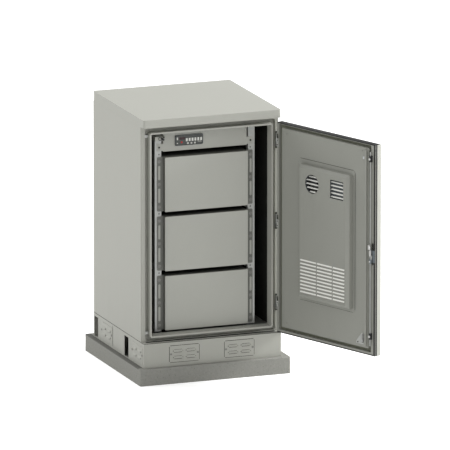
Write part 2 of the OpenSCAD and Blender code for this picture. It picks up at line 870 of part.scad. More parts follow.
// The duct's outer shape, d inside its walls
module duct_shape(d) {
    y_back = y_plate + seat - (d > 0 ? tiny : 0);
    intersection() {
        along_x(duct_x + d, duct_r - d) polygon([[y_back, duct_z + d],
            [y_duct - duct_slope, duct_z + d], [y_duct - d, duct_z + duct_slope],
            [y_duct - d, duct_top - duct_slope], [y_duct - duct_slope, duct_top - d],
            [y_back, duct_top - d]]);
        along_z(duct_z + d, duct_top - d) polygon([[duct_x + d, y_back],
            [duct_x + d, y_duct - duct_slope], [duct_x + duct_slope, y_duct - d],
            [duct_r - duct_slope, y_duct - d], [duct_r - d, y_duct - duct_slope],
            [duct_r - d, y_back]]);
    }
}

low_grille_b = duct_z + 22;
low_slots = 10;
low_pitch = 17.2;
low_bar = 8;
low_cols = [[duct_x + 20, 78], [duct_x + 106, 102], [duct_x + 216, duct_w - 237]];
sq_l = duct_x + 30;
sq_b = duct_top - 127;

sq_hole = [sq_l, sq_l + grille_sq, sq_b, sq_b + grille_sq];
round_blades = 4;
square_blades = 5;

module duct_box() {
    color("#a9abaa") on_door() difference() {
        duct_shape(0);
        duct_shape(duct_sheet);
        cyl_y(fan_x, fan_z, y_duct - 2 * duct_sheet, y_duct + tiny, fan_grille_r);
        box(sq_hole[0], sq_hole[1], y_duct - 2 * duct_sheet, y_duct + tiny, sq_hole[2], sq_hole[3]);
        for (c = low_cols, i = [0:low_slots - 1])
            box(c[0], c[0] + c[1], y_duct - 2 * duct_sheet, y_duct + tiny,
                low_grille_b + i * low_pitch, low_grille_b + (i + 1) * low_pitch - low_bar);
    }
}

blade_slant = 12;
blade_t = 1.2;
blade_tilt = 38;
insert_d = 12;
insert_wall = 1.5;
y_insert = y_duct - duct_sheet - insert_d;
sq_mid_x = sq_l + grille_sq / 2;
sq_mid_z = sq_b + grille_sq / 2;

// Sloping blades of one insert, their outer edges low
module blades(x, z, height, count) {
    for (i = [0:count - 1])
        translate([x, y_insert + insert_d / 2, z + ((i + 0.5) / count - 0.5) * height])
            rotate([-blade_tilt, 0, 0])
                box(-grille_sq, grille_sq, -blade_slant / 2, blade_slant / 2, -blade_t / 2, blade_t / 2);
}

module grille_inserts() {
    color("#e6e6e0") on_door() {
        y_end = y_duct - duct_sheet - seat;
        difference() {
            cyl_y(fan_x, fan_z, y_insert, y_end, fan_grille_r + insert_wall);
            cyl_y(fan_x, fan_z, y_insert - tiny, y_end + tiny, fan_grille_r);
        }
        intersection() {
            cyl_y(fan_x, fan_z, y_insert, y_end, fan_grille_r + insert_wall / 2);
            blades(fan_x, fan_z, 2 * fan_grille_r, round_blades);
        }
        ring(y_insert, y_end, grow(sq_hole, insert_wall), sq_hole, 1, 0.5);
        intersection() {
            box(sq_hole[0] - insert_wall / 2, sq_hole[1] + insert_wall / 2, y_insert, y_end,
                sq_hole[2] - tiny, sq_hole[3] + tiny);
            blades(sq_mid_x, sq_mid_z, grille_sq, square_blades);
        }
    }
}

module fan_housing() {
    color("#232527") on_door() {
        difference() {
            along_y(y_fan, y_fan + fan_t) rrect(fan_x - fan_body / 2, fan_x + fan_body / 2,
                fan_z - fan_body / 2, fan_z + fan_body / 2, 5);
            cyl_y(fan_x, fan_z, y_fan - tiny, y_fan + fan_t + tiny, fan_r);
        }
        for (a = [0:90:270])
            translate([fan_x, 0, fan_z]) rotate([0, a + 45, 0])
                box(0, fan_r + 1, y_fan, y_fan + fan_base_t, -3, 3);
        cyl_y(fan_x, fan_z, y_fan, y_fan + fan_base_t, hub_r);
        cyl_y(fan_x, fan_z, y_fan, y_fan + fan_t - 2, axle_r);
        for (s = [-1, 1])
            box(fan_x - 6, fan_x + 6, y_plate + seat, y_fan, fan_z + s * (fan_body / 2 - 6) - 5,
                fan_z + s * (fan_body / 2 - 6) + 5);
    }
}

module fan_rotor() {
    color("#2b2d30") on_door() difference() {
        union() {
            cyl_y(fan_x, fan_z, y_fan + fan_base_t + play, y_fan + fan_t - 1, hub_r);
            intersection() {
                cyl_y(fan_x, fan_z, y_fan + fan_base_t + 1, y_fan + fan_t - 1, rotor_r);
                for (a = [0:360 / fan_blades:359])
                    translate([fan_x, y_fan + fan_t / 2 + 1, fan_z]) rotate([0, a, 0])
                        rotate([35, 0, 0]) box(hub_r - 2, rotor_r + 5, -1, 1, -9, 9);
            }
        }
        cyl_y(fan_x, fan_z, y_fan, y_fan + fan_t, axle_r + fit);
    }
}

module filter_mat() {
    color("#d7d6cf") on_door() box(duct_x + duct_slope + 2, duct_r - duct_slope - 2,
        y_duct - duct_sheet - 8, y_duct - duct_sheet - seat, duct_z + duct_slope + 2,
        low_grille_b + low_slots * low_pitch + 4);
}

module lock_case() {
    color("#8d949a") on_door() difference() {
        box(case_l, case_r, y_front + sheet, y_door_in + 2.5, lock_z - case_h / 2,
            lock_z + case_h / 2);
        cyl_y(lock_x, lock_z, y_front, y_frame, spindle_r + fit);
    }
}

rod_bar_r = rod_bar_l + rod_w;
pin_xz = cam_pin_reach / sqrt(2);
slot_play = 0.3;
slot_in = pin_xz - cam_pin_r - slot_play;
slot_out = cam_pin_reach + cam_pin_r + slot_play;
plate_in = slot_in - 0.8;
plate_out = slot_out + 1.1;

module lock_cam() {
    color("#9ea2a5") on_door() {
        cyl_y(lock_x, lock_z, y_cam, y_cam + cam_t, cam_r);
        for (s = [-1, 1])
            cyl_y(lock_x + s * pin_xz, lock_z - s * pin_xz, y_cam + cam_t - tiny,
                y_rod + rod_t + 0.5, cam_pin_r);
    }
}

// Rod drawn for s = 1 upwards and s = -1 downwards, to the height z_end
module lock_rod(s, z_end) {
    slot_z = lock_z - s * pin_xz;
    difference() {
        union() {
            box(lock_x + (s > 0 ? plate_in : -plate_out), lock_x + (s > 0 ? plate_out : -plate_in),
                y_rod, y_rod + rod_t, lock_z - (s > 0 ? 7 : 14), lock_z + (s > 0 ? 14 : 7));
            box(s > 0 ? rod_bar_l : lock_x - plate_out, rod_bar_r, y_rod, y_rod + rod_t,
                s > 0 ? lock_z + 9 : lock_z - 14, s > 0 ? lock_z + 14 : lock_z - 9);
            box(rod_bar_l, rod_bar_r, y_rod, y_rod + rod_t, s > 0 ? lock_z + 9 : z_end,
                s > 0 ? z_end : lock_z - 9);
        }
        box(lock_x + (s > 0 ? slot_in : -slot_out), lock_x + (s > 0 ? slot_out : -slot_in),
            y_rod - tiny, y_rod + rod_t + tiny, slot_z - cam_pin_r - slot_play,
            slot_z + cam_pin_r + slot_play);
    }
}

module upper_rod() {
    color("#d2d3d3") on_door() lock_rod(1, upper_end);
}

module lower_rod() {
    color("#d2d3d3") on_door() lock_rod(-1, lower_end);
}

guide_z = [upper_end - 49, lower_end + 32];
guide_h = 30;

module rod_guides() {
    color("#2a2c2e") on_door() for (z = guide_z) difference() {
        box(rod_bar_l - play - 2, rod_bar_r + play + 2, y_door_in + seat, y_rod + rod_t + play + 2,
            z, z + guide_h);
        box(rod_bar_l - play, rod_bar_r + play, y_rod - play, y_rod + rod_t + play,
            z - tiny, z + guide_h + tiny);
    }
}

module rod_keeps() {
    color("#9ea2a5") for (z = [upper_end + 1, lower_end - 1 - keep_h]) {
        box(lip_l - gutter_w, lip_l - 2, y_rod - play - sheet, y_rod - play, z, z + keep_h);
        box(lip_l - gutter_w, lip_l - gutter_w + 1.5, y_rod - play - sheet, y_gutter,
            z, z + keep_h);
        box(lip_l - gutter_w, lip_l - 2, y_gutter - sheet, y_gutter, z, z + keep_h);
    }
}

rose_r = 17;
rose_t = 2;
boss_r = 8;
boss_out = 3.5;
key_hole_r = 5.5;
key_post_r = 3.2;

module lock_escutcheon() {
    color("#2a2c2e") on_door() difference() {
        cyl_y(lock_x, lock_z, y_front - rose_t, y_front - seat, rose_r);
        cyl_y(lock_x, lock_z, y_front - rose_t - tiny, y_front + tiny, boss_r + play);
    }
}

// Turned with a key: a round boss with a three-sided post in its recess
module lock_insert() {
    color("#8d9092") on_door() {
        difference() {
            cyl_y(lock_x, lock_z, y_front - boss_out, y_front - play, boss_r);
            cyl_y(lock_x, lock_z, y_front - boss_out - tiny, y_front - play - 1, key_hole_r);
        }
        translate([lock_x, y_front - play, lock_z]) rotate([90, 0, 0])
            cylinder(r = key_post_r, h = boss_out - play, $fn = 3);
        cyl_y(lock_x, lock_z, y_front - play - 1, y_cam, spindle_r);
    }
}

bracket_l = liner_l + ridge_w + 2;
bracket_w = 56;
bracket_h = 54;
bracket_b = liner_b + 14;
bracket_out = 20;
bracket_t = 3;

module run_on_bracket() {
    color("#b9bbba") on_door() {
        along_y(y_liner + seat, y_liner + seat + bracket_t) polygon([[bracket_l, bracket_b],
            [bracket_l, bracket_b + bracket_h], [bracket_l + 20, bracket_b + bracket_h],
            [bracket_l + bracket_w, bracket_b + 10], [bracket_l + bracket_w, bracket_b]]);
        along_x(bracket_l, bracket_l + bracket_t) polygon([[y_liner + bracket_t, bracket_b],
            [y_liner + bracket_t, bracket_b + bracket_h],
            [y_liner + bracket_out, bracket_b + bracket_h],
            [y_liner + bracket_out, bracket_b + bracket_h / 2]]);
    }
}

concrete_base();
anchor_bolts();
plinth_front_panel();
plinth_rear_panel();
plinth_left_panel();
plinth_right_panel();
front_vent_covers();
side_vent_covers();
plinth_screws();
left_side_panel();
right_side_panel();
rear_panel();
door_frame();
floor_pan();
gland_plate();
ceiling_panel();
roof_cap();
roof_screws();
front_rail_left();
front_rail_right();
rear_rails();
rail_cross_members();
module_support_angles();
upper_module();
middle_module();
lower_module();
module_screws();
controller_housing();
display_bezel();
red_display();
indicator_lamps();
door_switch_body();
switch_plunger();
menu_button();
down_button();
up_button();
hinge_frame_leaves();
hinge_pins();
rod_keeps();
door_skin();
door_edge_seal();
door_inner_frame();
door_liner();
door_gasket();
duct_mount_plate();
duct_box();
grille_inserts();
fan_housing();
fan_rotor();
filter_mat();
lock_case();
rod_guides();
hinge_door_leaves();
run_on_bracket();
lock_escutcheon();
lock_insert();
lock_cam();
upper_rod();
lower_rod();
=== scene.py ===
"""Looks of a roadside utility cabinet: finishes, small pressed and cast details, light and camera."""

import json
import math

import bpy
from bpy.props import FloatProperty, FloatVectorProperty, PointerProperty
from mathutils import Matrix, Vector


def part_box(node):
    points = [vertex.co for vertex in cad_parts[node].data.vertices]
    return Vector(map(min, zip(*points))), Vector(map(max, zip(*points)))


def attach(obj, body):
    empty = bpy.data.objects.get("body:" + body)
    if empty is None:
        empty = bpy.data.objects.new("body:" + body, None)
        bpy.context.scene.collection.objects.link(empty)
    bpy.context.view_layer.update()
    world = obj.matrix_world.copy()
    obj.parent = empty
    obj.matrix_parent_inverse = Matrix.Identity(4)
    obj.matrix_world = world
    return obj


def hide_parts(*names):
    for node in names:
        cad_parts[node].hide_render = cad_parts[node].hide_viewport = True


bl_info = {
    "name": "Roadside Cabinet",
    "version": (1, 0, 0),
    "blender": (4, 5, 0),
    "location": "3D View > Sidebar > Cabinet",
    "description": "Finishes and small parts of a steel equipment cabinet with an open door",
    "category": "Object",
}

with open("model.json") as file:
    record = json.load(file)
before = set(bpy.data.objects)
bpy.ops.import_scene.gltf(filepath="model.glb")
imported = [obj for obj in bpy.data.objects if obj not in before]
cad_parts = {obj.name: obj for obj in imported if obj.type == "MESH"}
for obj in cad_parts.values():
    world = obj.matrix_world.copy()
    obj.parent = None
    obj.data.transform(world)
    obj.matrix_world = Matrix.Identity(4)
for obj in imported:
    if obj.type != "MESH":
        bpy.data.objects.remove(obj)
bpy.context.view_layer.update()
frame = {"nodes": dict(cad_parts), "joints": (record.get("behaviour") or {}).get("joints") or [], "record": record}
MM = 0.001
SKIN = 0.02 * MM        # how far a thin piece stands off the face behind it
PROUD = 0.05 * MM       # the same on the outer sheets
RAIL_PITCH = 22.22 * MM
HINGE_LENGTH = 66 * MM
BLADES = 5              # blades in each upper opening


def joint(name):
    """The record's entry for a joint."""
    return next(j for j in frame["joints"] if j["name"] == name)


HINGE = Vector(joint("door_hinge")["pos_m"])
OPEN_ANGLE = -math.radians(joint("door_hinge")["range_deg"][0])
TURN = (Matrix.Translation(HINGE) @ Matrix.Rotation(OPEN_ANGLE, 4, "Z")
        @ Matrix.Translation(-HINGE))


def closed_box(node):
    """Lowest and highest corner of a door node as it stands with the door closed."""
    back = TURN.inverted()
    points = [back @ v.co for v in frame["nodes"][node].data.vertices]
    return (Vector(map(min, *points)), Vector(map(max, *points)))


def mount(name):
    """The record's entry for a mount."""
    return next(m for m in frame["record"]["mounts"] if m["name"] == name)


def frame_level(node, index):
    """Middle height of one of a node's separate solids, counted from the lowest."""
    heights = sorted(v.co.z for v in frame["nodes"][node].data.vertices)
    steps = [i for i in range(1, len(heights)) if heights[i] - heights[i - 1] > 0.1]
    bounds = [0] + steps + [len(heights)]
    return (heights[bounds[index]] + heights[bounds[index + 1] - 1]) / 2


# ------------------------------------------------------------------ settings


class CabinetFinish(bpy.types.PropertyGroup):
    """Colours and grain of the cabinet's finishes."""
    housing_colour: FloatVectorProperty(
        name="Housing", description="Powder coat of the housing", subtype="COLOR",
        size=3, min=0, max=1, default=(0.42, 0.423, 0.38))
    # Darker than the housing; the darkness is partly painted shade for faces turned away from the light.
    inside_coat_and_shade_colour: FloatVectorProperty(
        name="Inside", description="Powder coat of the door's inner side", subtype="COLOR",
        size=3, min=0, max=1, default=(0.29, 0.294, 0.262))
    unit_colour: FloatVectorProperty(
        name="Units", description="Powder coat of the plug-in units", subtype="COLOR",
        size=3, min=0, max=1, default=(0.45, 0.455, 0.412))
    zinc_colour: FloatVectorProperty(
        name="Zinc", description="Zinc plated sheet of rails, hinges and rods", subtype="COLOR",
        size=3, min=0, max=1, default=(0.50, 0.51, 0.49))
    concrete_colour: FloatVectorProperty(
        name="Concrete", description="Concrete of the slab", subtype="COLOR",
        size=3, min=0, max=1, default=(0.29, 0.29, 0.265))
    peel_size: FloatProperty(
        name="Orange peel", description="Size of the powder coat's ripples",
        default=0.004, min=0.001, max=0.02, unit="LENGTH")
    grit_size: FloatProperty(
        name="Grit", description="Size of the concrete's grains",
        default=0.006, min=0.001, max=0.05, unit="LENGTH")


class CabinetDetail(bpy.types.PropertyGroup):
    """Sizes of the small parts."""
    edge_round: FloatProperty(
        name="Sheet edge", description="Radius of folded sheet edges",
        default=0.0012, min=0.0, max=0.003, unit="LENGTH")
    ear_rise: FloatProperty(
        name="Ear rib", description="Height of the rib pressed in a unit's ear",
        default=0.0022, min=0.0005, max=0.003, unit="LENGTH")
    hood_reach: FloatProperty(
        name="Hood", description="How far the lower grille's hoods stand out",
        default=0.004, min=0.001, max=0.006, unit="LENGTH")
    blade_tilt: FloatProperty(
        name="Blade tilt", description="Slope of the upper grilles' blades",
        default=math.radians(38), min=0.0, max=math.radians(60), unit="ROTATION")
    blade_slant: FloatProperty(
        name="Blade depth", description="Depth of an upper grille's blade along its slope",
        default=0.008, min=0.004, max=0.011, unit="LENGTH")
    rubber_lip: FloatProperty(
        name="Rubber lip", description="Width of the rubber lip round the door",
        default=0.010, min=0.004, max=0.014, unit="LENGTH")
    seam: FloatProperty(
        name="Seam", description="Width of the shadow gap round a cover",
        default=0.0022, min=0.0005, max=0.004, unit="LENGTH")
    # Thickness of the near-black sheets on the inner walls, which are painted shade for the dark inside.
    lining: FloatProperty(
        name="Lining", description="Thickness of the foam on the inner walls",
        default=0.003, min=0.001, max=0.006, unit="LENGTH")


class CabinetStage(bpy.types.PropertyGroup):
    """Light, floor and camera."""
    azimuth: FloatProperty(
        name="Azimuth", description="Direction of the camera round the cabinet",
        default=math.radians(-20.524), unit="ROTATION")
    elevation: FloatProperty(
        name="Elevation", description="Height angle of the camera",
        default=math.radians(13.325), unit="ROTATION")
    distance: FloatProperty(
        name="Distance", description="Distance from the camera to the aim point",
        default=59.19, min=1.0, unit="LENGTH")
    aim: FloatVectorProperty(
        name="Aim", description="Point that the camera looks at", subtype="TRANSLATION",
        size=3, default=(0.2341, 0.1060, 0.6368))
    lens: FloatProperty(
        name="Lens", description="Focal length", default=984.0, min=50.0, unit="CAMERA")
    floor_colour: FloatVectorProperty(
        name="Floor", description="Colour of the floor", subtype="COLOR",
        size=3, min=0, max=1, default=(0.9, 0.9, 0.9))
    floor_glow: FloatProperty(
        name="Floor glow", description="Light that the floor gives of itself",
        default=0.5, min=0.0, max=1.0)
    sky_strength: FloatProperty(
        name="Sky", description="Strength of the light from all round",
        default=0.76, min=0.0)
    key_power: FloatProperty(
        name="Key", description="Power of the large light on the right",
        default=1150.0, min=0.0, unit="POWER")
    fill_power: FloatProperty(
        name="Fill", description="Power of the large light at the back left",
        default=200.0, min=0.0, unit="POWER")


# ------------------------------------------------------------------ finishes


def new_group(name, inputs, outputs):
    """An empty shader node group with named sockets, and its input and output nodes."""
    group = bpy.data.node_groups.new(name, "ShaderNodeTree")
    for label, kind, value in inputs:
        socket = group.interface.new_socket(label, in_out="INPUT", socket_type=kind)
        socket.default_value = value
    for label, kind in outputs:
        group.interface.new_socket(label, in_out="OUTPUT", socket_type=kind)
    return group, group.nodes.new("NodeGroupInput"), group.nodes.new("NodeGroupOutput")


def add_math(tree, operation, a, b=None, clamp=False):
    """A math node fed by sockets or numbers; returns its output."""
    node = tree.nodes.new("ShaderNodeMath")
    node.operation = operation
    node.use_clamp = clamp
    for index, value in enumerate((a, b)):
        if value is None:
            continue
        if isinstance(value, (int, float)):
            node.inputs[index].default_value = value
        else:
            tree.links.new(value, node.inputs[index])
    return node.outputs[0]


def add_noise(tree, vector, scale, detail=3.0, rough=0.55):
    """A noise texture read at a vector; scale is a number or a socket."""
    node = tree.nodes.new("ShaderNodeTexNoise")
    node.inputs["Detail"].default_value = detail
    node.inputs["Roughness"].default_value = rough
    tree.links.new(vector, node.inputs["Vector"])
    if isinstance(scale, (int, float)):
        node.inputs["Scale"].default_value = scale
    else:
        tree.links.new(scale, node.inputs["Scale"])
    return node.outputs["Fac"]


def add_mix(tree, factor, a, b, blend="MIX"):
    """A colour mix of two colours or sockets."""
    node = tree.nodes.new("ShaderNodeMix")
    node.data_type = "RGBA"
    node.blend_type = blend
    for socket, value in ((node.inputs[0], factor), (node.inputs[6], a), (node.inputs[7], b)):
        if hasattr(value, "links"):
            tree.links.new(value, socket)
        else:
            socket.default_value = value
    return node.outputs[2]


def build_coat_group():
    """Powder coat: faint cloudy colour, fine specks, and an orange peel surface."""
    group, source, sink = new_group("Powder coat", [
        ("Vector", "NodeSocketVector", (0, 0, 0)),
        ("Colour", "NodeSocketColor", (0.6, 0.6, 0.6, 1)),
        ("Peel scale", "NodeSocketFloat", 250.0),
        ("Cloud", "NodeSocketFloat", 0.05),
        ("Roughness", "NodeSocketFloat", 0.5),
    ], [("Colour", "NodeSocketColor"), ("Roughness", "NodeSocketFloat"),
        ("Height", "NodeSocketFloat")])
    vector = source.outputs["Vector"]
    cloud = add_noise(group, vector, 3.5, 4.0)
    speck = add_noise(group, vector, 320.0, 2.0)
    spread = add_math(group, "SUBTRACT", cloud, 0.5)
    spread = add_math(group, "MULTIPLY", spread, source.outputs["Cloud"])
    fine = add_math(group, "MULTIPLY", add_math(group, "SUBTRACT", speck, 0.5), 0.10)
    level = add_math(group, "ADD", add_math(group, "ADD", spread, fine), 1.0)
    tint = group.nodes.new("ShaderNodeVectorMath")
    tint.operation = "SCALE"
    group.links.new(source.outputs["Colour"], tint.inputs[0])
    group.links.new(level, tint.inputs["Scale"])
    group.links.new(tint.outputs[0], sink.inputs["Colour"])
    rough = add_math(group, "MULTIPLY", spread, 1.5)
    group.links.new(add_math(group, "ADD", rough, source.outputs["Roughness"], True),
                    sink.inputs["Roughness"])
    peel = add_noise(group, vector, source.outputs["Peel scale"], 1.5)
    group.links.new(peel, sink.inputs["Height"])
    return group


def build_wear_group():
    """Grime that gathers low on a piece and in faint vertical runs."""
    group, source, sink = new_group("Grime", [
        ("Vector", "NodeSocketVector", (0, 0, 0)),
        ("Colour", "NodeSocketColor", (0.6, 0.6, 0.6, 1)),
        ("Amount", "NodeSocketFloat", 0.1),
        ("Low", "NodeSocketFloat", 0.1),
        ("High", "NodeSocketFloat", 0.5),
    ], [("Colour", "NodeSocketColor"), ("Mask", "NodeSocketFloat")])
    parts = group.nodes.new("ShaderNodeSeparateXYZ")
    group.links.new(source.outputs["Vector"], parts.inputs[0])
    ramp = group.nodes.new("ShaderNodeMapRange")
    set_inputs(ramp, {"To Min": 1.0, "To Max": 0.0})
    group.links.new(parts.outputs["Z"], ramp.inputs["Value"])
    group.links.new(source.outputs["Low"], ramp.inputs["From Min"])
    group.links.new(source.outputs["High"], ramp.inputs["From Max"])
    stretch = group.nodes.new("ShaderNodeMapping")
    stretch.inputs["Scale"].default_value = (22.0, 22.0, 1.4)
    group.links.new(source.outputs["Vector"], stretch.inputs["Vector"])
    streak = add_noise(group, stretch.outputs[0], 1.0, 4.0)
    patch = add_noise(group, source.outputs["Vector"], 14.0, 5.0)
    mask = add_math(group, "MULTIPLY", add_math(group, "ADD", ramp.outputs[0], 0.25),
                    add_math(group, "MULTIPLY", streak, patch))
    mask = add_math(group, "MULTIPLY", mask, source.outputs["Amount"], True)
    group.links.new(mask, sink.inputs["Mask"])
    mixed = add_mix(group, mask, source.outputs["Colour"], (0.10, 0.095, 0.08, 1))
    group.links.new(mixed, sink.inputs["Colour"])
    return group


def set_inputs(node, values):
    """Sets plain values on a node's own sockets."""
    for name, value in values.items():
        node.inputs[name].default_value = value


def new_material(name):
    """A material with its Principled shader and an Object coordinate socket."""
    material = bpy.data.materials.new(name)
    material.use_nodes = True
    tree = material.node_tree
    shader = tree.nodes["Principled BSDF"]
    place = tree.nodes.new("ShaderNodeTexCoord")
    return material, tree, shader, place.outputs["Object"]


def add_bump(tree, shader, height, strength, distance):
    """Feeds a height to the shader's normal."""
    bump = tree.nodes.new("ShaderNodeBump")
    set_inputs(bump, {"Strength": strength, "Distance": distance})
    tree.links.new(height, bump.inputs["Height"])
    tree.links.new(bump.outputs[0], shader.inputs["Normal"])


def paint_shade_behind(tree, place, shade, front):
    """Painted shade: darkens a colour towards near black behind a coated face that stands at the depth front, more
    so the deeper it lies.
    """
    parts = tree.nodes.new("ShaderNodeSeparateXYZ")
    tree.links.new(place, parts.inputs[0])
    behind = add_math(tree, "GREATER_THAN", parts.outputs["Y"], front + 1.5 * MM)
    deep = tree.nodes.new("ShaderNodeMapRange")
    set_inputs(deep, {"From Min": front, "From Max": front + 60 * MM})
    tree.links.new(parts.outputs["Y"], deep.inputs["Value"])
    amount = add_math(tree, "ADD", add_math(tree, "MULTIPLY", behind, 0.45),
                      add_math(tree, "MULTIPLY", deep.outputs[0], 0.5), True)
    return add_mix(tree, amount, shade, (0.02, 0.02, 0.017, 1))


def coat_material(name, colour, roughness, grime=0.15, low=0.08, high=0.5, cloud=0.06,
                  front=None):
    """Powder coated sheet steel."""
    finish = bpy.context.scene.cabinet_finish
    material, tree, shader, place = new_material(name)
    coat = tree.nodes.new("ShaderNodeGroup")
    coat.node_tree = bpy.data.node_groups["Powder coat"]
    tree.links.new(place, coat.inputs["Vector"])
    set_inputs(coat, {"Colour": (*colour, 1), "Peel scale": 1.0 / finish.peel_size,
                      "Cloud": cloud, "Roughness": roughness})
    wear = tree.nodes.new("ShaderNodeGroup")
    wear.node_tree = bpy.data.node_groups["Grime"]
    tree.links.new(place, wear.inputs["Vector"])
    tree.links.new(coat.outputs["Colour"], wear.inputs["Colour"])
    set_inputs(wear, {"Amount": grime, "Low": low, "High": high})
    shade = wear.outputs["Colour"]
    # Painted shade on the sides and top behind the face at the depth front.
    if front is not None:
        shade = paint_shade_behind(tree, place, shade, front)
    tree.links.new(shade, shader.inputs["Base Color"])
    tree.links.new(coat.outputs["Roughness"], shader.inputs["Roughness"])
    shader.inputs["Specular IOR Level"].default_value = 0.4
    add_bump(tree, shader, coat.outputs["Height"], 0.12, 0.0004)
    return material


def metal_material(name, colour, roughness, spangle=60.0, metallic=0.85):
    """Zinc plated or cast metal with faint spangle and scuffs."""
    material, tree, shader, place = new_material(name)
    cells = tree.nodes.new("ShaderNodeTexVoronoi")
    cells.inputs["Scale"].default_value = spangle
    tree.links.new(place, cells.inputs["Vector"])
    scuff = add_noise(tree, place, 90.0, 4.0)
    shade = add_mix(tree, add_math(tree, "MULTIPLY", cells.outputs["Distance"], 0.5),
                    (*colour, 1), tuple(0.78 * c for c in colour) + (1,))
    tree.links.new(shade, shader.inputs["Base Color"])
    rough = add_math(tree, "ADD", add_math(tree, "MULTIPLY", scuff, 0.25), roughness - 0.12, True)
    tree.links.new(rough, shader.inputs["Roughness"])
    shader.inputs["Metallic"].default_value = metallic
    add_bump(tree, shader, scuff, 0.08, 0.0003)
    return material


def concrete_material(name, colour, grit):
    """Cast concrete: cement skin, grit, pores and tone patches, with a painted shadow on the slab's top beside the
    cabinet's left side.
    """
    material, tree, shader, place = new_material(name)
    patch = add_noise(tree, place, 5.0, 5.0, 0.6)
    grain = add_noise(tree, place, 0.7 / grit, 4.0, 0.65)
    pores = tree.nodes.new("ShaderNodeTexVoronoi")
    pores.inputs["Scale"].default_value = 0.45 / grit
    tree.links.new(place, pores.inputs["Vector"])
    hole = tree.nodes.new("ShaderNodeMapRange")
    set_inputs(hole, {"From Min": 0.06, "From Max": 0.16})
    tree.links.new(pores.outputs["Distance"], hole.inputs["Value"])
    light = tuple(min(1.0, 1.22 * c) for c in colour) + (1,)
    dark = tuple(0.74 * c for c in colour) + (1,)
    mixed = add_mix(tree, grain, dark, light)
    mixed = add_mix(tree, add_math(tree, "MULTIPLY", patch, 0.5), mixed, (*colour, 1))
    mixed = add_mix(tree, hole.outputs[0], tuple(0.45 * c for c in colour) + (1,), mixed)
    parts = tree.nodes.new("ShaderNodeSeparateXYZ")
    tree.links.new(place, parts.inputs[0])
    # Painted shadow: the slab's top beside the cabinet's left side is darkened towards near black.
    cabinet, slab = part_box("plinth_left_panel"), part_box("concrete_base")
    beside = add_math(tree, "LESS_THAN", parts.outputs["X"], cabinet[0].x)
    above = add_math(tree, "GREATER_THAN", parts.outputs["Z"], slab[1].z - 4 * MM)
    behind = add_math(tree, "GREATER_THAN", parts.outputs["Y"], cabinet[0].y + 8 * MM)
    painted_shadow = add_math(tree, "MULTIPLY", add_math(tree, "MULTIPLY", beside, above), behind)
    mixed = add_mix(tree, add_math(tree, "MULTIPLY", painted_shadow, 0.55), mixed, (0.05, 0.05, 0.044, 1))
    tree.links.new(mixed, shader.inputs["Base Color"])
    set_inputs(shader, {"Roughness": 0.9, "Specular IOR Level": 0.25})
    height = add_math(tree, "ADD", add_math(tree, "MULTIPLY", grain, 0.6),
                      add_math(tree, "MULTIPLY", hole.outputs[0], 0.5))
    add_bump(tree, shader, height, 0.55, 0.002)
    return material


def grained_material(name, colour, roughness, scale=400.0, strength=0.2, mottle=0.12):
    """Moulded plastic, rubber, foam or fleece with a fine grain."""
    material, tree, shader, place = new_material(name)
    grain = add_noise(tree, place, scale, 3.0)
    broad = add_noise(tree, place, scale * 0.05, 3.0)
    dark = tuple((1 - mottle) * c for c in colour) + (1,)
    light = tuple(min(1.0, (1 + mottle) * c) for c in colour) + (1,)
    tree.links.new(add_mix(tree, broad, dark, light), shader.inputs["Base Color"])
    rough = add_math(tree, "ADD", add_math(tree, "MULTIPLY", grain, 0.15), roughness - 0.07, True)
    tree.links.new(rough, shader.inputs["Roughness"])
    add_bump(tree, shader, grain, strength, 0.0004)
    return material


def lamp_material(name, colour, glow, roughness=0.25):
    """A lit or tinted lens with faint ribs."""
    material, tree, shader, place = new_material(name)
    ribs = tree.nodes.new("ShaderNodeTexWave")
    ribs.inputs["Scale"].default_value = 180.0
    tree.links.new(place, ribs.inputs["Vector"])
    shade = add_mix(tree, add_math(tree, "MULTIPLY", ribs.outputs["Fac"], 0.25),
                    (*colour, 1), tuple(0.7 * c for c in colour) + (1,))
    tree.links.new(shade, shader.inputs["Base Color"])
    tree.links.new(shade, shader.inputs["Emission Color"])
    set_inputs(shader, {"Emission Strength": glow, "Roughness": roughness})
    return material


FINISH_OF = {
    "concrete": ["concrete_base"],
    "housing": ["left_side_panel", "right_side_panel", "rear_panel", "door_frame", "roof_cap",
                "door_skin", "plinth_front_panel", "plinth_rear_panel", "plinth_left_panel",
                "plinth_right_panel", "front_vent_covers", "side_vent_covers"],
    "inside": ["door_inner_frame", "door_liner", "duct_mount_plate", "duct_box"],
    "interior": ["floor_pan", "ceiling_panel"],
    "units": ["upper_module", "middle_module", "lower_module"],
    "control": ["controller_housing", "door_switch_body"],
    "zinc": ["gland_plate", "front_rail_left", "front_rail_right", "rear_rails",
             "rail_cross_members", "module_support_angles", "hinge_frame_leaves",
             "hinge_door_leaves", "rod_keeps", "run_on_bracket", "lock_cam", "upper_rod",
             "lower_rod"],
    "bright_steel": ["anchor_bolts", "roof_screws", "hinge_pins", "lock_insert"],
    "dark_steel": ["plinth_screws", "module_screws"],
    "cast_zinc": ["lock_case"],
    "rubber": ["door_edge_seal"],
    "foam": ["door_gasket"],
    "black_plastic": ["switch_plunger", "fan_housing", "fan_rotor",
                      "rod_guides", "lock_escutcheon"],
    "bezel": ["display_bezel"],
    "fleece": ["filter_mat"],
    "red_window": ["red_display"],
    "white_lens": ["indicator_lamps"],
    "white_blade": ["grille_inserts"],
    "key_plastic": ["menu_button", "down_button", "up_button"],
}


SOFT_NODES = ["roof_cap", "left_side_panel", "right_side_panel", "upper_module",
              "middle_module", "lower_module", "controller_housing", "duct_box",
              "concrete_base"]


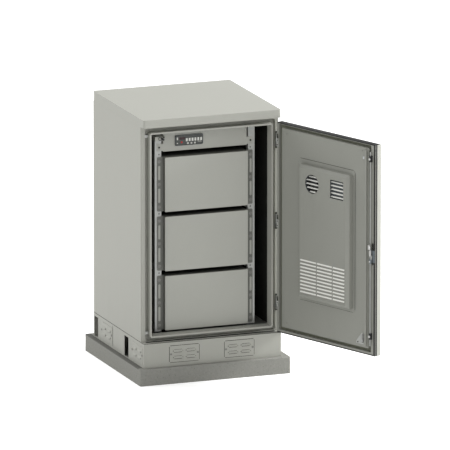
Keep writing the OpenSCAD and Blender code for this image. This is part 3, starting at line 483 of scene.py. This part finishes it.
class CABINET_OT_finishes(bpy.types.Operator):
    """Build the finishes and give each construction part its own"""
    bl_idname = "cabinet.finishes"
    bl_label = "Finishes"

    def execute(self, context):
        finish = context.scene.cabinet_finish
        build_coat_group()
        build_wear_group()
        made = {
            "concrete": concrete_material("concrete", finish.concrete_colour, finish.grit_size),
            "housing": coat_material("housing", finish.housing_colour, 0.48),
            # Darker copies of the housing coat, partly painted shade on the door's inner side and the interior.
            "inside": coat_material("inside", finish.inside_coat_and_shade_colour, 0.5, 0.12),
            "interior": coat_material("interior", finish.inside_coat_and_shade_colour, 0.55, 0.3),
            # The units' coat carries painted shade behind their front faces.
            "units": coat_material("units", finish.unit_colour, 0.5, 0.08,
                                   front=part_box("upper_module")[0].y),
            "control": coat_material("control", finish.unit_colour, 0.5, 0.08),
            "zinc": metal_material("zinc", finish.zinc_colour, 0.42, 60.0, 0.6),
            "bright_steel": metal_material("bright_steel", (0.68, 0.68, 0.66), 0.3, 200.0),
            "dark_steel": metal_material("dark_steel", (0.26, 0.26, 0.24), 0.4, 200.0, 0.5),
            "cast_zinc": metal_material("cast_zinc", (0.22, 0.25, 0.27), 0.5, 300.0, 0.5),
            # Near-black for painted shade in gaps, seams and slots, also used for dark screw heads.
            "painted_shade_gap": grained_material("painted_shade_gap", (0.035, 0.036, 0.03), 0.9),
            # Near-black sheets that stand for the shade inside the cabinet.
            "lining": grained_material("lining", (0.028, 0.03, 0.024), 0.95, 500.0, 0.4, 0.2),
            "white_blade": coat_material("white_blade", (0.86, 0.86, 0.81), 0.5, 0.02),
            "rubber": grained_material("rubber", (0.012, 0.012, 0.011), 0.7),
            "foam": grained_material("foam", (0.16, 0.165, 0.125), 0.85, 700.0, 0.4),
            "black_plastic": grained_material("black_plastic", (0.02, 0.021, 0.022), 0.45),
            "bezel": grained_material("bezel", (0.07, 0.075, 0.07), 0.4),
            "fleece": grained_material("fleece", (0.30, 0.30, 0.27), 0.95, 900.0, 0.6),
            "red_window": lamp_material("red_window", (0.03, 0.001, 0.004), 0.0),
            "white_lens": lamp_material("white_lens", (0.75, 0.75, 0.7), 0.05),
            "key_plastic": grained_material("key_plastic", (0.62, 0.62, 0.58), 0.5),
        }
        for name, nodes in FINISH_OF.items():
            for node in nodes:
                data = frame["nodes"][node].data
                data.materials.clear()
                data.materials.append(made[name])
        return {"FINISHED"}


# ------------------------------------------------------------------ modelling


def deselect():
    """Nothing selected, in object mode."""
    if bpy.context.object and bpy.context.object.mode != "OBJECT":
        bpy.ops.object.mode_set(mode="OBJECT")
    bpy.ops.object.select_all(action="DESELECT")


def add_rounding(piece, width, angle=40):
    """A live bevel on the edges that are sharper than an angle in degrees."""
    bevel = piece.modifiers.new("Rounding", "BEVEL")
    bevel.width = width
    bevel.segments = 2
    bevel.limit_method = "ANGLE"
    bevel.angle_limit = math.radians(angle)
    return bevel


def soften(piece, width):
    """Rounds a piece's sharp edges with an applied bevel."""
    bevel = add_rounding(piece, width)
    bpy.context.view_layer.objects.active = piece
    bpy.ops.object.modifier_apply(modifier=bevel.name)


def add_block(low, high, rounding=0.0, tilt=0.0, axis="X"):
    """A block between two corners with rounded edges, tilted about its middle."""
    deselect()
    low, high = Vector(low), Vector(high)
    bpy.ops.mesh.primitive_cube_add(size=1)
    piece = bpy.context.object
    piece.scale = high - low
    bpy.ops.object.transform_apply(location=False, rotation=False, scale=True)
    if rounding:
        soften(piece, rounding)
    piece.rotation_euler["XYZ".index(axis)] = tilt
    piece.location = (low + high) / 2
    bpy.ops.object.transform_apply(location=True, rotation=True, scale=True)
    return piece


def add_wedge(low, high, side=1):
    """A block whose top runs out to nothing on its outer side, like a pressed hood."""
    piece = add_block(low, high)
    outer = max(high[1], low[1]) if side > 0 else min(high[1], low[1])
    inner = min(high[1], low[1]) if side > 0 else max(high[1], low[1])
    for vertex in piece.data.vertices:
        if abs(vertex.co.y - outer) < 1e-6 and abs(vertex.co.z - high[2]) < 1e-6:
            vertex.co.y = inner + side * 0.0004
    return piece


def add_plate(low, high, corner, rim=0.0):
    """A plate facing along Y, its corners cut in; a rim leaves only a frame of that width."""
    deselect()
    low, high = Vector(low), Vector(high)
    bpy.ops.mesh.primitive_plane_add(size=1, rotation=(math.pi / 2, 0, 0))
    piece = bpy.context.object
    bpy.ops.object.transform_apply(location=False, rotation=True, scale=False)
    piece.scale = (high.x - low.x, 1, high.z - low.z)
    bpy.ops.object.transform_apply(location=False, rotation=False, scale=True)
    bpy.ops.object.mode_set(mode="EDIT")
    bpy.ops.mesh.select_all(action="SELECT")
    bpy.ops.mesh.bevel(offset=corner, segments=5, profile=0.0, affect="VERTICES")
    if rim:
        bpy.ops.mesh.select_all(action="SELECT")
        bpy.ops.mesh.inset(thickness=rim, use_boundary=True, use_even_offset=True)
        bpy.ops.mesh.delete(type="FACE")
    bpy.ops.mesh.select_all(action="SELECT")
    bpy.ops.mesh.extrude_region_move(TRANSFORM_OT_translate={"value": (0, high.y - low.y, 0)})
    bpy.ops.mesh.select_all(action="SELECT")
    bpy.ops.mesh.normals_make_consistent(inside=False)
    bpy.ops.object.mode_set(mode="OBJECT")
    piece.location = ((low.x + high.x) / 2, low.y, (low.z + high.z) / 2)
    bpy.ops.object.transform_apply(location=True, rotation=True, scale=True)
    return piece


def add_disc(x, y0, y1, z, radius, rounding=0.0, sides=24, turn=(math.pi / 2, 0, 0)):
    """A short cylinder along Y, or along another axis with its own turn."""
    deselect()
    bpy.ops.mesh.primitive_cylinder_add(vertices=sides, radius=radius, depth=abs(y1 - y0),
                                        location=(x, (y0 + y1) / 2, z), rotation=turn)
    piece = bpy.context.object
    bpy.ops.object.transform_apply(location=True, rotation=True, scale=True)
    if rounding:
        soften(piece, rounding)
    return piece


def join_as(name, parts):
    """Joins objects into one with a name."""
    deselect()
    for part in parts:
        part.select_set(True)
    bpy.context.view_layer.objects.active = parts[0]
    if len(parts) > 1:
        bpy.ops.object.join()
    joined = bpy.context.object
    joined.name = name
    joined.data.name = name
    return joined


def finish_piece(name, parts, material, body="cabinet"):
    """Joins the parts of a piece and gives it its material and body; the door's are turned."""
    piece = join_as(name, parts)
    if body == "door":
        piece.matrix_world = TURN @ piece.matrix_world
        bpy.ops.object.transform_apply(location=True, rotation=True, scale=True)
    bpy.ops.object.shade_smooth_by_angle(angle=math.radians(35))
    piece.data.materials.clear()
    piece.data.materials.append(bpy.data.materials[material])
    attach(piece, body)
    deselect()
    return piece


class CABINET_OT_soft_edges(bpy.types.Operator):
    """Round the sheet edges of the housing so that they catch the light"""
    bl_idname = "cabinet.soft_edges"
    bl_label = "Soft edges"

    def execute(self, context):
        width = context.scene.cabinet_detail.edge_round
        for node in SOFT_NODES:
            piece = frame["nodes"][node]
            weld = piece.modifiers.new("Weld", "WELD")
            weld.merge_threshold = 0.00001
            add_rounding(piece, width * (3 if node == "concrete_base" else 1), angle=50)
        return {"FINISHED"}


class CABINET_OT_inner_shade(bpy.types.Operator):
    """Near-black sheets on the inner walls: painted shade for the dark inside of the cabinet"""
    bl_idname = "cabinet.lining"
    bl_label = "Inner shade sheets"

    def execute(self, context):
        thick = context.scene.cabinet_detail.lining
        floor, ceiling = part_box("floor_pan"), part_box("ceiling_panel")
        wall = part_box("right_side_panel")[1].x - 2.2 * MM
        z0, z1 = floor[1].z + 2 * MM, ceiling[0].z - 2 * MM
        y0, y1 = floor[0].y + 6 * MM, floor[1].y - 18 * MM
        for side, name in ((-1, "left_shade_sheet"), (1, "right_shade_sheet")):
            inner, outer = sorted((side * (wall - thick), side * wall))
            finish_piece(name, [add_block((inner, y0, z0), (outer, y1, z1), 1.5 * MM)], "lining")
        edge = wall - 14 * MM
        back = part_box("rear_panel")[1].y - 15 * MM
        rear = add_block((-edge, back - thick, z0), (edge, back, z1), 1.5 * MM)
        finish_piece("rear_shade_sheet", [rear], "lining")
        top = add_block((-edge, y0, z1 - thick), (edge, y1 - 4 * MM, z1), 1.5 * MM)
        finish_piece("ceiling_shade_sheet", [top], "lining")
        return {"FINISHED"}


class CABINET_OT_plinth_trim(bpy.types.Operator):
    """Shadow gaps and pressed hoods of the plinth's covers, and the side seams"""
    bl_idname = "cabinet.plinth_trim"
    bl_label = "Plinth trim"

    def execute(self, context):
        low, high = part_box("front_vent_covers")
        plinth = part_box("plinth_front_panel")
        face = plinth[0].y
        width, painted_shade_gap = 150 * MM, context.scene.cabinet_detail.seam
        shadows, hoods, heads = [], [], []
        for x in (low.x, high.x - width):
            shadows.append(add_plate((x - painted_shade_gap, face - 0.5 * MM, low.z - painted_shade_gap),
                                     (x + width + painted_shade_gap, face - PROUD, high.z + painted_shade_gap),
                                     5 * MM, 2 * painted_shade_gap))
            for column in (20, 85):
                for row in (18, 50):
                    left, base = x + column * MM, low.z + row * MM
                    shadows.append(add_plate((left - 3 * MM, face - 2.1 * MM, base - 3 * MM),
                                             (left + 48 * MM, face - 1.55 * MM, base + 12 * MM),
                                             6 * MM))
                    hoods.append(add_wedge((left, face - 7 * MM, base),
                                           (left + 45 * MM, face - 1.6 * MM, base + 11 * MM), -1))
            for side in (7 * MM, width - 7 * MM):
                heads.append(add_disc(x + side, face - 4 * MM, face - 1.6 * MM,
                                      low.z + (high.z - low.z) / 2, 4.5 * MM, 0.6 * MM))
        finish_piece("cover_shadow_gaps", shadows, "painted_shade_gap")
        finish_piece("cover_hoods", hoods, "housing")
        finish_piece("cover_screw_heads", heads, "dark_steel")
        seams, flanges = [], []
        for side in (-1, 1):
            wall = side * plinth[1].x
            outer, inner = sorted((wall + side * 0.5 * MM, wall + side * PROUD))
            seams.append(add_block((outer, 82 * MM, plinth[0].z + 10 * MM),
                                   (inner, 84.5 * MM, plinth[1].z - 8 * MM)))
            seams.append(add_block((outer, face + 4 * MM, plinth[1].z - 2.2 * MM),
                                   (inner, -face - 4 * MM, plinth[1].z - 0.2 * MM)))
            outer, inner = sorted((wall + side * 2 * MM, wall + side * PROUD))
            flanges.append(add_block((outer, face + 2 * MM, plinth[0].z + 0.2 * MM),
                                     (inner, -face - 2 * MM, plinth[0].z + 3.5 * MM), 0.5 * MM))
        seams.append(add_block((-plinth[1].x, face - 0.5 * MM, plinth[1].z - 2.5 * MM),
                               (plinth[1].x, face - PROUD, plinth[1].z)))
        finish_piece("plinth_seams", seams, "painted_shade_gap")
        finish_piece("plinth_foot_flanges", flanges, "housing")
        return {"FINISHED"}


class CABINET_OT_rear_fixings(bpy.types.Operator):
    """Blind rivets along the rear panel, and the seams along its two side edges"""
    bl_idname = "cabinet.rear_fixings"
    bl_label = "Rear fixings"

    def execute(self, context):
        low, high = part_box("rear_panel")
        rivets = []
        for side in (-1, 1):
            for step in range(6):
                z = low.z + 40 * MM + step * (high.z - low.z - 80 * MM) / 5
                rivets.append(add_disc(side * (high.x - 12 * MM), high.y, high.y + 1.6 * MM, z,
                                       4 * MM, 1.2 * MM))
        finish_piece("rear_rivets", rivets, "dark_steel")
        seams = [add_block((x - 0.8 * MM, high.y + PROUD, low.z + 4 * MM),
                           (x + 0.8 * MM, high.y + 0.4 * MM, high.z - 4 * MM))
                 for x in (low.x, high.x)]
        finish_piece("rear_seams", seams, "painted_shade_gap")
        return {"FINISHED"}


class CABINET_OT_rack_details(bpy.types.Operator):
    """Shadowed holes, screw washers and pressed ribs on the rack's ears"""
    bl_idname = "cabinet.rack_details"
    bl_label = "Rack details"

    def execute(self, context):
        rise = context.scene.cabinet_detail.ear_rise
        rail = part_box("front_rail_right")
        column = mount("rack_holes")["dims"]["spacing_x_mm"] * MM / 2
        dark, washers, ribs = [], [], []
        modules = [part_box(n + "_module") for n in ("upper", "middle", "lower")]
        for low, high in modules:
            middle = (low.z + high.z) / 2
            for side in (-1, 1):
                for step in (-1, 0, 1):
                    z = middle + step * 5 * RAIL_PITCH
                    washers.append(add_disc(side * column, rail[0].y - 3 * MM,
                                            rail[0].y - 2.05 * MM, z, 8.5 * MM, 0.3 * MM))
                for step in (-0.5, 0.5):
                    z = middle + step * 5 * RAIL_PITCH
                    ribs.append(add_plate((side * column - 5 * MM, rail[0].y - 2 * MM - rise,
                                           z - 38 * MM),
                                          (side * column + 5 * MM, rail[0].y - 2.02 * MM,
                                           z + 38 * MM), 4.8 * MM))
                dark.append(add_disc(side * column, rail[0].y + 2.2 * MM, rail[0].y + 3.5 * MM,
                                     high.z + 12.3 * MM, 7 * MM))
        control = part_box("controller_housing")
        for side in (-1, 1):
            dark.append(add_disc(side * column, control[0].y - 0.6 * MM, control[0].y - PROUD,
                                 control[0].z + 22 * MM, 5 * MM))
            ribs.append(add_plate((side * column - 4 * MM, control[0].y - rise,
                                   control[0].z + 7 * MM),
                                  (side * column + 4 * MM, control[0].y - SKIN,
                                   control[0].z + 15 * MM), 3.8 * MM))
        finish_piece("rail_hole_shadows", dark, "painted_shade_gap")
        finish_piece("screw_washers", washers, "dark_steel")
        finish_piece("ear_ribs", ribs, "control")
        return {"FINISHED"}


class CABINET_OT_panel_details(bpy.types.Operator):
    """Rim, marker lamps and hatched field of the controller's bezel"""
    bl_idname = "cabinet.panel_details"
    bl_label = "Control panel details"

    def execute(self, context):
        low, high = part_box("display_bezel")
        front = low.y
        rim = add_plate((low.x - 1 * MM, front - 1.2 * MM, low.z - 1 * MM),
                        (high.x + 1 * MM, front - SKIN, high.z + 1 * MM), 4 * MM, 2.5 * MM)
        finish_piece("bezel_rim", [rim], "black_plastic")
        blocks = [((8, 27), (14, 40)), ((8, 9), (14, 13))]
        marks = [add_block((low.x + a[0] * MM, front - 1.2 * MM, low.z + a[1] * MM),
                           (low.x + b[0] * MM, front - SKIN, low.z + b[1] * MM), 0.4 * MM)
                 for a, b in blocks]
        finish_piece("marker_lamps", marks, "white_lens")
        lamp = add_disc(low.x + 33 * MM, front - 0.8 * MM, front - SKIN, low.z + 15 * MM,
                        4.5 * MM, 0.3 * MM)
        finish_piece("alarm_lamp", [lamp], "red_window")
        bars = [add_block((high.x - (26 - 5 * i) * MM, front - 0.8 * MM, low.z + 9 * MM),
                          (high.x - (24 - 5 * i) * MM, front - SKIN, low.z + 18 * MM),
                          0.3 * MM, math.radians(-35), "Y") for i in range(4)]
        finish_piece("hatched_field", bars, "control")
        return {"FINISHED"}


class CABINET_OT_switch_details(bpy.types.Operator):
    """Slotted guide and screws of the door contact"""
    bl_idname = "cabinet.switch_details"
    bl_label = "Door contact details"

    def execute(self, context):
        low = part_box("door_switch_body")[0]
        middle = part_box("switch_plunger")
        x, z = (middle[0].x + middle[1].x) / 2, (middle[0].z + middle[1].z) / 2
        ring = add_plate((x - 17 * MM, low.y - 1.2 * MM, z - 8.5 * MM),
                         (x + 12 * MM, low.y - SKIN, z + 8.5 * MM), 3 * MM, 2.2 * MM)
        heads = [add_disc(x + 11.5 * MM, low.y - 2.5 * MM, low.y - SKIN, z + s * 6 * MM,
                          3 * MM, 0.6 * MM) for s in (-1, 1)]
        finish_piece("contact_slot", [ring] + heads, "painted_shade_gap")
        return {"FINISHED"}


class CABINET_OT_door_trim(bpy.types.Operator):
    """Rubber lip round the door's inner edge, strips, pads and small screws"""
    bl_idname = "cabinet.door_trim"
    bl_label = "Door trim"

    def execute(self, context):
        low, high = closed_box("door_skin")
        face = closed_box("door_inner_frame")[1].y
        lip = context.scene.cabinet_detail.rubber_lip
        out = face + 1.4 * MM
        seal = [add_block((low.x + 1 * MM, face + SKIN, low.z + 1 * MM),
                          (low.x + 1 * MM + lip, out, high.z - 1 * MM), 0.5 * MM),
                add_block((low.x + 1 * MM, low.y + 3 * MM, high.z + PROUD),
                          (high.x - 1 * MM, out, high.z + 1.2 * MM), 0.5 * MM),
                add_block((low.x + 1 * MM, face + SKIN, high.z - 0.3 * lip),
                          (high.x - 1 * MM, out, high.z + 1.2 * MM), 0.5 * MM),
                add_block((low.x + 1 * MM, face + SKIN, low.z + 1 * MM),
                          (high.x - 1 * MM, out, low.z + 1 * MM + 0.5 * lip), 0.5 * MM)]
        finish_piece("door_rubber_lip", seal, "rubber", "door")
        liner = closed_box("door_liner")
        sheet = liner[0].y + 2 * MM
        pads = [add_block((liner[0].x + 15 * MM, sheet + SKIN, liner[1].z - 56 * MM),
                          (liner[0].x + 29 * MM, sheet + 3 * MM, liner[1].z - 42 * MM), 1 * MM)]
        finish_piece("door_pad", pads, "zinc", "door")
        dots = [(liner[0].x + 18 * MM, liner[0].z + 90 * MM),
                (liner[0].x + 18 * MM, liner[0].z + 112 * MM),
                (liner[1].x - 22 * MM, liner[1].z - 22 * MM),
                (liner[1].x - 22 * MM, liner[0].z + 22 * MM),
                (liner[0].x + 34 * MM, liner[1].z - 16 * MM)]
        heads = [add_disc(x, sheet + SKIN, sheet + 1.8 * MM, z, 3.2 * MM, 0.8 * MM)
                 for x, z in dots]
        finish_piece("liner_screws", heads, "dark_steel", "door")
        plate = closed_box("duct_mount_plate")
        slots_and_shadow = [add_plate((plate[1].x - 20 * MM, plate[1].y + SKIN, z * MM + plate[1].z),
                           (plate[1].x - 10 * MM, plate[1].y + 1 * MM, (z + 15) * MM + plate[1].z),
                           3 * MM) for z in (-110, -84, -58)]
        # Painted shadow: a dark ring round the duct's mount plate.
        slots_and_shadow.append(add_plate((plate[0].x - 1.8 * MM, sheet + SKIN, plate[0].z - 1.8 * MM),
                               (plate[1].x + 1.8 * MM, sheet + 0.6 * MM, plate[1].z + 1.8 * MM),
                               14 * MM, 4 * MM))
        finish_piece("plate_slots_and_shadow", slots_and_shadow, "painted_shade_gap", "door")
        return {"FINISHED"}


class CABINET_OT_grille_hoods(bpy.types.Operator):
    """Bright pressed hoods over the slots of the duct's lower grille"""
    bl_idname = "cabinet.grille_hoods"
    bl_label = "Grille hoods"

    def execute(self, context):
        detail = context.scene.cabinet_detail
        low, high = closed_box("duct_box")
        pitch, bar = 17.2 * MM, 8 * MM
        columns = ((20, 98), (106, 208), (216, 323))
        hoods, mouths = [], []
        for start, end in columns:
            for row in range(10):
                base = low.z + 22 * MM + (row + 1) * pitch - bar
                hoods.append(add_wedge((low.x + start * MM, high.y + SKIN, base),
                                       (low.x + end * MM, high.y + detail.hood_reach,
                                        base + 0.8 * bar)))
                mouths.append(add_block((low.x + start * MM, high.y - 1.4 * MM, base - 9 * MM),
                                        (low.x + end * MM, high.y - 1.0 * MM, base)))
        finish_piece("grille_hoods", hoods, "white_blade", "door")
        finish_piece("grille_mouths", mouths, "fleece", "door")
        return {"FINISHED"}


class CABINET_OT_upper_grilles(bpy.types.Operator):
    """Dark sleeves with bright slanting blades in the duct's two upper openings"""
    bl_idname = "cabinet.upper_grilles"
    bl_label = "Upper grilles"

    def execute(self, context):
        detail = context.scene.cabinet_detail
        low, high = closed_box("duct_box")
        back, front = closed_box("grille_inserts")[0].y, high.y - 1.55 * MM
        middle_z = high.z - 82 * MM
        square_x, square = low.x + 75 * MM, 45 * MM
        outer = square + 1.5 * MM
        round_x, radius = high.x - 98 * MM, 46 * MM
        sleeves, blades = [], []
        deselect()
        bpy.ops.mesh.primitive_cylinder_add(vertices=48, radius=radius + 1.5 * MM,
                                            depth=front - back, end_fill_type="NOTHING",
                                            location=(round_x, (front + back) / 2, middle_z),
                                            rotation=(math.pi / 2, 0, 0))
        tube = bpy.context.object
        bpy.ops.object.transform_apply(location=True, rotation=True, scale=True)
        wall = tube.modifiers.new("Wall", "SOLIDIFY")
        wall.thickness = 1.4 * MM
        bpy.ops.object.modifier_apply(modifier=wall.name)
        sleeves.append(tube)
        sleeves.append(add_plate((square_x - outer, back, middle_z - outer),
                                 (square_x + outer, front, middle_z + outer), 2 * MM, 1.5 * MM))
        sleeves.append(add_plate((square_x - square, back, middle_z - square),
                                 (square_x + square, back + 1 * MM, middle_z + square), 1 * MM))
        finish_piece("grille_sleeves", sleeves, "black_plastic", "door")
        depth = (front + back) / 2
        for x, half in ((round_x, radius), (square_x, square)):
            for step in range(BLADES):
                level = middle_z + ((step + 0.5) / BLADES - 0.5) * 2 * half - 2 * MM
                reach = half
                if x == round_x:
                    rise = abs(level - middle_z) + 3 * MM
                    reach = math.sqrt(max(0.0, half ** 2 - rise ** 2))
                blades.append(add_block((x - reach + 1 * MM, depth - detail.blade_slant / 2, level),
                                        (x + reach - 0.2 * MM, depth + detail.blade_slant / 2,
                                         level + 1.2 * MM), 0.3 * MM, -detail.blade_tilt))
        blade_set = finish_piece("grille_blades", blades, "white_blade", "door")
        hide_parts("grille_inserts")
        return {"FINISHED"}


class CABINET_OT_sill(bpy.types.Operator):
    """Rubber sill between the plinth's fold and the door frame"""
    bl_idname = "cabinet.sill"
    bl_label = "Sill"

    def execute(self, context):
        plinth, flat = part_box("plinth_front_panel"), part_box("door_frame")
        sill = add_block((flat[0].x + 1 * MM, plinth[0].y + 21 * MM, plinth[1].z - 3 * MM),
                         (flat[1].x - 1 * MM, plinth[0].y + 54 * MM, plinth[1].z - 0.2 * MM),
                         0.8 * MM)
        finish_piece("sill_seal", [sill], "rubber")
        return {"FINISHED"}


class CABINET_OT_hinge_details(bpy.types.Operator):
    """Painted shadows round the three hinges, and their arms and screws"""
    bl_idname = "cabinet.hinge_details"
    bl_label = "Hinge details"

    def execute(self, context):
        low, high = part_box("hinge_frame_leaves")
        edge = closed_box("door_skin")[1].x
        levels = [low.z + HINGE_LENGTH / 2, frame_level("hinge_pins", 1), high.z - HINGE_LENGTH / 2]
        face = closed_box("door_inner_frame")[1].y
        reach = HINGE_LENGTH / 2 + 8 * MM
        frame_shadows, door_shadows, heads, arms, dots = [], [], [], [], []
        for z in levels:
            # Painted shadow on the frame behind each hinge.
            frame_shadows.append(add_block((low.x - 3 * MM, high.y - 0.7 * MM, z - reach),
                                   (high.x - 1 * MM, high.y - 0.1 * MM, z + reach)))
            # Painted shadow on the door's edge beside each hinge.
            door_shadows.append(add_block((edge + SKIN, low.y + 2 * MM, z - 26 * MM),
                                      (edge + 0.5 * MM, high.y - 4 * MM, z + 26 * MM)))
            for side in (-1, 1):
                heads.append(add_disc(low.x + 5 * MM, high.y - 4 * MM, high.y - 2.05 * MM,
                                      z + side * 24 * MM, 3.5 * MM, 0.6 * MM))
            # Painted shadow on the door's inner face under each hinge arm.
            door_shadows.append(add_block((edge - 9 * MM, face + SKIN, z - 20 * MM),
                                      (edge - 1.6 * MM, face + 0.6 * MM, z + 38 * MM)))
            arms.append(add_block((edge - 11 * MM, face + 0.62 * MM, z - 24 * MM),
                                  (edge - 1.6 * MM, face + 2.6 * MM, z + 16 * MM), 0.6 * MM))
            for side in (-1, 1):
                dots.append(add_disc(edge - 5.5 * MM, face + 2.62 * MM, face + 2.95 * MM,
                                     z - 4 * MM + side * 11 * MM, 2.6 * MM, 0.1 * MM))
        finish_piece("hinge_frame_shadows", frame_shadows, "painted_shade_gap")
        finish_piece("hinge_screws", heads, "dark_steel")
        finish_piece("hinge_door_shadows", door_shadows + dots, "painted_shade_gap", "door")
        finish_piece("hinge_arms", arms, "bright_steel", "door")
        return {"FINISHED"}


class CABINET_OT_lock_details(bpy.types.Operator):
    """Strap, clip and screws of the rod lock, and the rollers of its guides"""
    bl_idname = "cabinet.lock_details"
    bl_label = "Lock details"

    def execute(self, context):
        low, high = closed_box("lock_case")
        cam = closed_box("lock_cam")
        x, z = (cam[0].x + cam[1].x) / 2, (cam[0].z + cam[1].z) / 2
        front = closed_box("upper_rod")[1].y
        face = closed_box("door_inner_frame")[1].y
        # Painted shadow: a dark plate beside the rod lock.
        lock_shade_plate = add_plate((low.x + 8 * MM, face - 0.5 * MM, z - 42 * MM),
                         (high.x - 0.5 * MM, face, z + 66 * MM), 4 * MM)
        finish_piece("lock_shadow", [lock_shade_plate], "painted_shade_gap", "door")
        strap = add_plate((x - 6 * MM, front + 1 * MM, z + 2 * MM),
                          (x + 6 * MM, front + 3 * MM, z + 32 * MM), 3 * MM)
        clip = add_block((x - 5 * MM, front + 1 * MM, z + 36 * MM),
                         (x + 7 * MM, front + 12 * MM, z + 58 * MM), 1.5 * MM)
        screw = add_disc(x + 2 * MM, front + 1 * MM, front + 5 * MM, z - 24 * MM, 4.5 * MM, 1 * MM)
        finish_piece("lock_strap", [strap, clip, screw], "bright_steel", "door")
        body = add_block((x - 9 * MM, front + 0.8 * MM, z - 34 * MM),
                         (x + 6 * MM, front + 3.5 * MM, z - 12 * MM), 1 * MM)
        finish_piece("lock_cover", [body], "cast_zinc", "door")
        guides = closed_box("rod_guides")
        rollers = []
        for level in (guides[0].z + 15 * MM, guides[1].z - 15 * MM):
            rollers.append(add_disc(x + 1.5 * MM, front + 2.6 * MM, front + 8 * MM, level, 6 * MM,
                                    1.2 * MM))
        finish_piece("guide_rollers", rollers, "bright_steel", "door")
        return {"FINISHED"}


class CABINET_OT_bracket_details(bpy.types.Operator):
    """Screws of the run-on bracket"""
    bl_idname = "cabinet.bracket_details"
    bl_label = "Bracket details"

    def execute(self, context):
        low = closed_box("run_on_bracket")[0]
        plate = low.y + 3 * MM
        heads = [add_disc(low.x + a * MM, plate + SKIN, plate + 2.2 * MM, low.z + b * MM,
                          3.5 * MM, 0.7 * MM) for a, b in ((12, 44), (12, 10), (44, 7))]
        finish_piece("bracket_screws", heads, "painted_shade_gap", "door")
        return {"FINISHED"}


# ------------------------------------------------------------------ stage


def add_area(name, place, target, size, power, colour=(1, 1, 1)):
    """A square soft light aimed at a point."""
    data = bpy.data.lights.new(name, "AREA")
    data.energy = power
    data.size = size
    data.color = colour
    lamp = bpy.data.objects.new(name, data)
    bpy.context.scene.collection.objects.link(lamp)
    lamp.location = place
    lamp.rotation_euler = (Vector(target) - Vector(place)).to_track_quat("-Z", "Y").to_euler()
    return lamp


class CABINET_OT_stage(bpy.types.Operator):
    """Set up the floor, the lights and the camera"""
    bl_idname = "cabinet.stage"
    bl_label = "Stage"

    def execute(self, context):
        stage = context.scene.cabinet_stage
        deselect()
        bpy.ops.mesh.primitive_plane_add(size=400, location=(0, 0, 0))
        floor = context.object
        floor.name = "floor"
        paint = grained_material("floor_paint", stage.floor_colour, 0.9, 40.0, 0.02, 0.01)
        shader = paint.node_tree.nodes["Principled BSDF"]
        shader.inputs["Emission Color"].default_value = (1, 1, 1, 1)
        path = paint.node_tree.nodes.new("ShaderNodeLightPath")
        glow = add_math(paint.node_tree, "MULTIPLY", path.outputs["Is Camera Ray"],
                        stage.floor_glow)
        paint.node_tree.links.new(glow, shader.inputs["Emission Strength"])
        floor.data.materials.append(paint)
        world = bpy.data.worlds.new("studio")
        context.scene.world = world
        world.use_nodes = True
        sky = world.node_tree.nodes["Background"]
        set_inputs(sky, {"Color": (1, 1, 1, 1), "Strength": stage.sky_strength})
        aim = Vector(stage.aim)
        add_area("key", (9.0, -1.5, 4.5), (0, 0, 0.6), 3.0, stage.key_power)
        add_area("fill", (-6.5, 5.0, 6.0), (0, 0, 0.6), 5.0, stage.fill_power)
        data = bpy.data.cameras.new("camera")
        camera = bpy.data.objects.new("camera", data)
        context.scene.collection.objects.link(camera)
        context.scene.camera = camera
        data.sensor_width = 36.0
        data.lens = stage.lens
        a, e = stage.azimuth, stage.elevation
        back = Vector((math.sin(a) * math.cos(e), -math.cos(a) * math.cos(e), math.sin(e)))
        camera.location = aim + back * stage.distance
        camera.rotation_euler = (-back).to_track_quat("-Z", "Y").to_euler()
        data.clip_start = 1.0
        data.clip_end = 400.0
        context.scene.view_settings.view_transform = "Standard"
        return {"FINISHED"}


class CABINET_PT_panel(bpy.types.Panel):
    """Lists the cabinet's steps and settings"""
    bl_idname = "CABINET_PT_panel"
    bl_label = "Roadside Cabinet"
    bl_space_type = "VIEW_3D"
    bl_region_type = "UI"
    bl_category = "Cabinet"

    def draw(self, context):
        for step in STEPS:
            self.layout.operator(step.bl_idname)
        for group in ("cabinet_finish", "cabinet_detail", "cabinet_stage"):
            settings = getattr(context.scene, group)
            for name in settings.bl_rna.properties.keys():
                if name not in ("rna_type", "name"):
                    self.layout.prop(settings, name)


STEPS = [CABINET_OT_stage, CABINET_OT_finishes, CABINET_OT_soft_edges, CABINET_OT_inner_shade,
         CABINET_OT_plinth_trim, CABINET_OT_rear_fixings, CABINET_OT_rack_details,
         CABINET_OT_panel_details, CABINET_OT_switch_details, CABINET_OT_door_trim,
         CABINET_OT_grille_hoods, CABINET_OT_upper_grilles, CABINET_OT_sill,
         CABINET_OT_hinge_details, CABINET_OT_lock_details,
         CABINET_OT_bracket_details]
GROUPS = {"cabinet_finish": CabinetFinish, "cabinet_detail": CabinetDetail,
          "cabinet_stage": CabinetStage}


def register():
    """Registers the settings, the steps and the panel."""
    for name, group in GROUPS.items():
        bpy.utils.register_class(group)
        setattr(bpy.types.Scene, name, PointerProperty(type=group))
    for step in STEPS:
        bpy.utils.register_class(step)
    bpy.utils.register_class(CABINET_PT_panel)


def unregister():
    """Takes everything away again."""
    bpy.utils.unregister_class(CABINET_PT_panel)
    for step in reversed(STEPS):
        bpy.utils.unregister_class(step)
    for name, group in GROUPS.items():
        delattr(bpy.types.Scene, name)
        bpy.utils.unregister_class(group)


def main():
    """Runs every step in order."""
    register()
    for step in STEPS:
        space, name = step.bl_idname.split(".")
        getattr(getattr(bpy.ops, space), name)()


if __name__ == "__main__":
    main()
